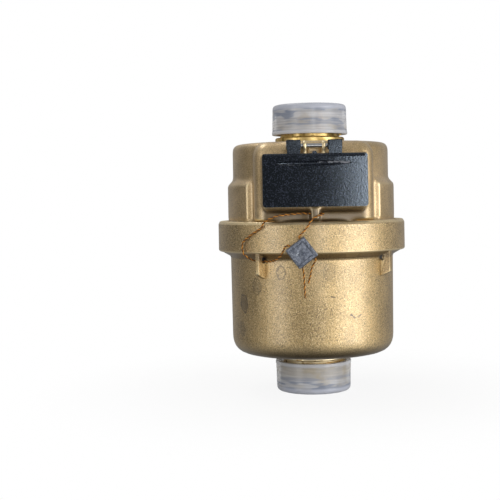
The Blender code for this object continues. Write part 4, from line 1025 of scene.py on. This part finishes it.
def leadSeal():
    s = seal
    half = s["side"] / 2
    deep = s["thick"] / 2
    inner = half - s["border"]
    base = block((-half, -deep, -half), (half, deep, half), s["edge"])
    dish = block((-inner, -deep - 1, -inner), (inner, -deep + s["recess"], inner), s["dishEdge"], 2)
    bm = carved(base, (), [dish], s["voxel"], s["smoothing"])
    for point in bm.verts:
        # dents go inward only
        dent = sum(noise.noise(point.co * size) * height for size, height in s["dents"])
        point.co += point.normal * min(0.0, dent - s["dentOffset"])
    bm.transform(Matrix.Translation(s["centre"]) @ Matrix.Rotation(math.radians(s["tilt"]), 4, "Y"))
    return finishPiece("sealBlock", bm, "lead", "meter_body", ["lead_seal"], None)


# register: figures on the drums and a line round the dial's window
drumSet = {
    "count": 6, "red": 2, "figures": 10, "radius": 4.4, "inkHeight": 0.03, "bandShift": -0.55,
    "figure": 3.4, "weight": 0.07,
}
dial = {"side": 0.4, "inkHeight": 0.03, "inner": (0.1, 2.3), "outer": (0.6, 2.9), "thickness": 0.05}


def figureMesh(character):
    text = bpy.data.curves.new("figure", "FONT")
    text.body = character
    text.size = drumSet["figure"]
    text.align_x = "CENTER"
    text.align_y = "CENTER"
    text.resolution_u = 3
    text.offset = drumSet["weight"]
    return evaluated(placed("figure", text))


def drumFigures():
    d = drumSet
    radius = d["radius"] + d["inkHeight"]
    for number in range(1, d["count"] + 1):
        low, high = boxOf(f"number_drum_{number}")
        middle = (low + high) / 2
        bm = bmesh.new()
        for value in range(d["figures"]):
            mesh = figureMesh(str(value))
            figure = bmesh.new()
            figure.from_mesh(mesh)
            bmesh.ops.remove_doubles(figure, verts=figure.verts, dist=mergeReach)
            for point in figure.verts:
                # wraps the figure round the drum
                angle = 2 * math.pi * value / d["figures"] + point.co.y / d["radius"]
                across = middle.x + d["bandShift"] + point.co.x
                point.co = (across, middle.y - radius * math.cos(angle), middle.z + radius * math.sin(angle))
            figure.to_mesh(mesh)
            figure.free()
            bm.from_mesh(mesh)
        bmesh.ops.recalc_face_normals(bm, faces=bm.faces)
        ink = "redInk" if number <= d["red"] else "ink"
        finishPiece(f"figures{number}", bm, ink, f"number_drum_{number}", (), None)


def dialMarks():
    front = boxOf("dial_plate")[0].y - dial["inkHeight"]
    low, high = boxOf("number_drum_1")
    left = boxOf(f"number_drum_{drumSet['count']}")[0].x - dial["side"]
    right = high.x + dial["side"]
    middle = (low.z + high.z) / 2
    side, half = dial["outer"]
    back = front + dial["thickness"]
    outer = block((left - side, front, middle - half), (right + side, back, middle + half))
    side, half = dial["inner"]
    inner = block((left - side, front - 1, middle - half), (right + side, front + 1, middle + half))
    finishPiece("dialBorder", carved(outer, (), [inner]), "ink", "meter_body")


# finishes of the CAD pieces that are shown as they are; the rest are white mouldings
finishOfNode = {
    "joint_gasket": "rubber", "chamber_seal": "rubber", "window_gasket": "rubber", "window_frame": "grey",
    "window_pane": "glass", "driver_magnet": "magnet", "follower_magnet": "magnet", "division_plate": "grey",
    "piston": "grey", "drum_shaft": "steel", "carry_shaft": "steel", "idler_stud": "steel",
    "chamber_roller": "steel",
}


def dressNodes():
    for name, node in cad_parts.items():
        if name not in replacedNodes:
            node.data.materials.clear()
            node.data.materials.append(finishes[finishOfNode.get(name, "white")])


headCasting()
print("head casting made")
cupCasting()
print("cup casting made")
pipeEnds()
milkyCaps()
print("pipe ends and caps made")
registerLid()
hingePin()
print("lid and pin made")
sealBlock = leadSeal()
twisted, wirePath, wireLength = sealingWire()
print(f"wire made, {wireLength:.3f} m")
drumFigures()
dialMarks()
dressNodes()
print("register dressed")


# the shadow's reach is in millimetres; the room's dim sides are a share of its light
floorLook = {
    "half": 4.0, "colour": (0.95, 0.95, 0.95), "rough": 0.9, "shadow": 0.1, "shadowReach": (30.0, 130.0),
}
room = {
    "heights": (-0.4, 0.8), "light": (0.27, 0.46), "white": (1.0, 1.0, 1.0),
    "dim": {"Y": (-1.0, -0.5, 0.62), "Z": (-0.95, -0.6, 0.15), "X": (-0.95, -0.55, 0.55)},
}
lamps = {
    "keyLamp": {"place": (0.56, -0.42, 0.05), "aim": (0.0, 0.0, 0.05), "size": (0.5, 0.5), "power": 2.7},
    "leftLamp": {"place": (-0.48, -0.42, 0.09), "aim": (0.0, 0.0, 0.06), "size": (0.2, 0.5), "power": 0.85},
    "sheenLamp": {"place": (0.118, -0.74, 0.11), "aim": (0.0, 0.0, 0.08), "size": (0.06, 0.22), "power": 0.6},
    "topLamp": {"place": (-0.24, 0.14, 0.64), "aim": (0.0, 0.0, 0.08), "size": (0.3, 0.2), "power": 0.7},
}
# view is the width that the camera takes in at its distance
photo = {
    "distance": 0.449, "side": -0.021, "height": 0.0803, "view": 0.2065, "shiftX": -0.0195, "shiftY": -0.11,
    "roll": 0.98, "sensor": 36.0, "clip": (0.01, 20.0),
}


def paleFloor():
    bm = bmesh.new()
    bmesh.ops.create_grid(bm, x_segments=1, y_segments=1, size=floorLook["half"])
    floor = placed("floor", meshOf("floor", bm))
    pale = Finish("paleFloor")
    away = pale.vector("LENGTH", {0: pale.place}, "Value")
    alpha = floorLook["shadow"] * (1.0 - pale.between(away, *floorLook["shadowReach"]))
    pale.set(Base_Color=floorLook["colour"], Roughness=floorLook["rough"], Alpha=alpha)
    floor.data.materials.append(pale.material)
    # the floor keeps the shadow and throws no light up at the meter
    floor.visible_diffuse = False
    floor.visible_glossy = False


def whiteRoom():
    # the camera sees plain white, and the light is dimmer from below and from some sides
    world = bpy.data.worlds.new("studio")
    bpy.context.scene.world = world
    world.use_nodes = True
    nodes = Nodes(world.node_tree)
    aim = nodes.node("TexCoord", output="Generated")
    light = nodes.between(nodes.axis(aim, "Z"), *room["heights"], *room["light"])
    for name, (low, high, share) in room["dim"].items():
        light = light * nodes.between(nodes.axis(aim, name), low, high, share)
    seen = nodes.node("LightPath", output="Is Camera Ray")
    back = world.node_tree.nodes["Background"].inputs
    nodes.put(back["Strength"], nodes.node("MapRange", {"Value": seen, "To Min": light, "To Max": 1.0}))
    nodes.put(back["Color"], room["white"])


def areaLamp(name, place, aim, size, power):
    lamp = bpy.data.lights.new(name, "AREA")
    lamp.shape = "RECTANGLE"
    lamp.size, lamp.size_y = size
    lamp.energy = power
    made = placed(name, lamp)
    made.location = place
    made.rotation_euler = (Vector(aim) - Vector(place)).to_track_quat("-Z", "Y").to_euler()


def photoCamera():
    p = photo
    data = bpy.data.cameras.new("photoCamera")
    data.sensor_width = p["sensor"]
    data.lens = p["sensor"] * p["distance"] / p["view"]
    data.shift_x = p["shiftX"]
    data.shift_y = p["shiftY"]
    data.clip_start, data.clip_end = p["clip"]
    camera = placed("photoCamera", data)
    roll = math.radians(p["roll"])
    camera.matrix_world = Matrix((
        (math.cos(roll), math.sin(roll), 0, p["side"]),
        (0, 0, -1, -p["distance"]),
        (-math.sin(roll), math.cos(roll), 0, p["height"]),
        (0, 0, 0, 1),
    ))
    bpy.context.scene.camera = camera


paleFloor()
whiteRoom()
for lampName, values in lamps.items():
    areaLamp(lampName, **values)
photoCamera()
bpy.context.scene.view_settings.view_transform = "Standard"
print("studio ready")
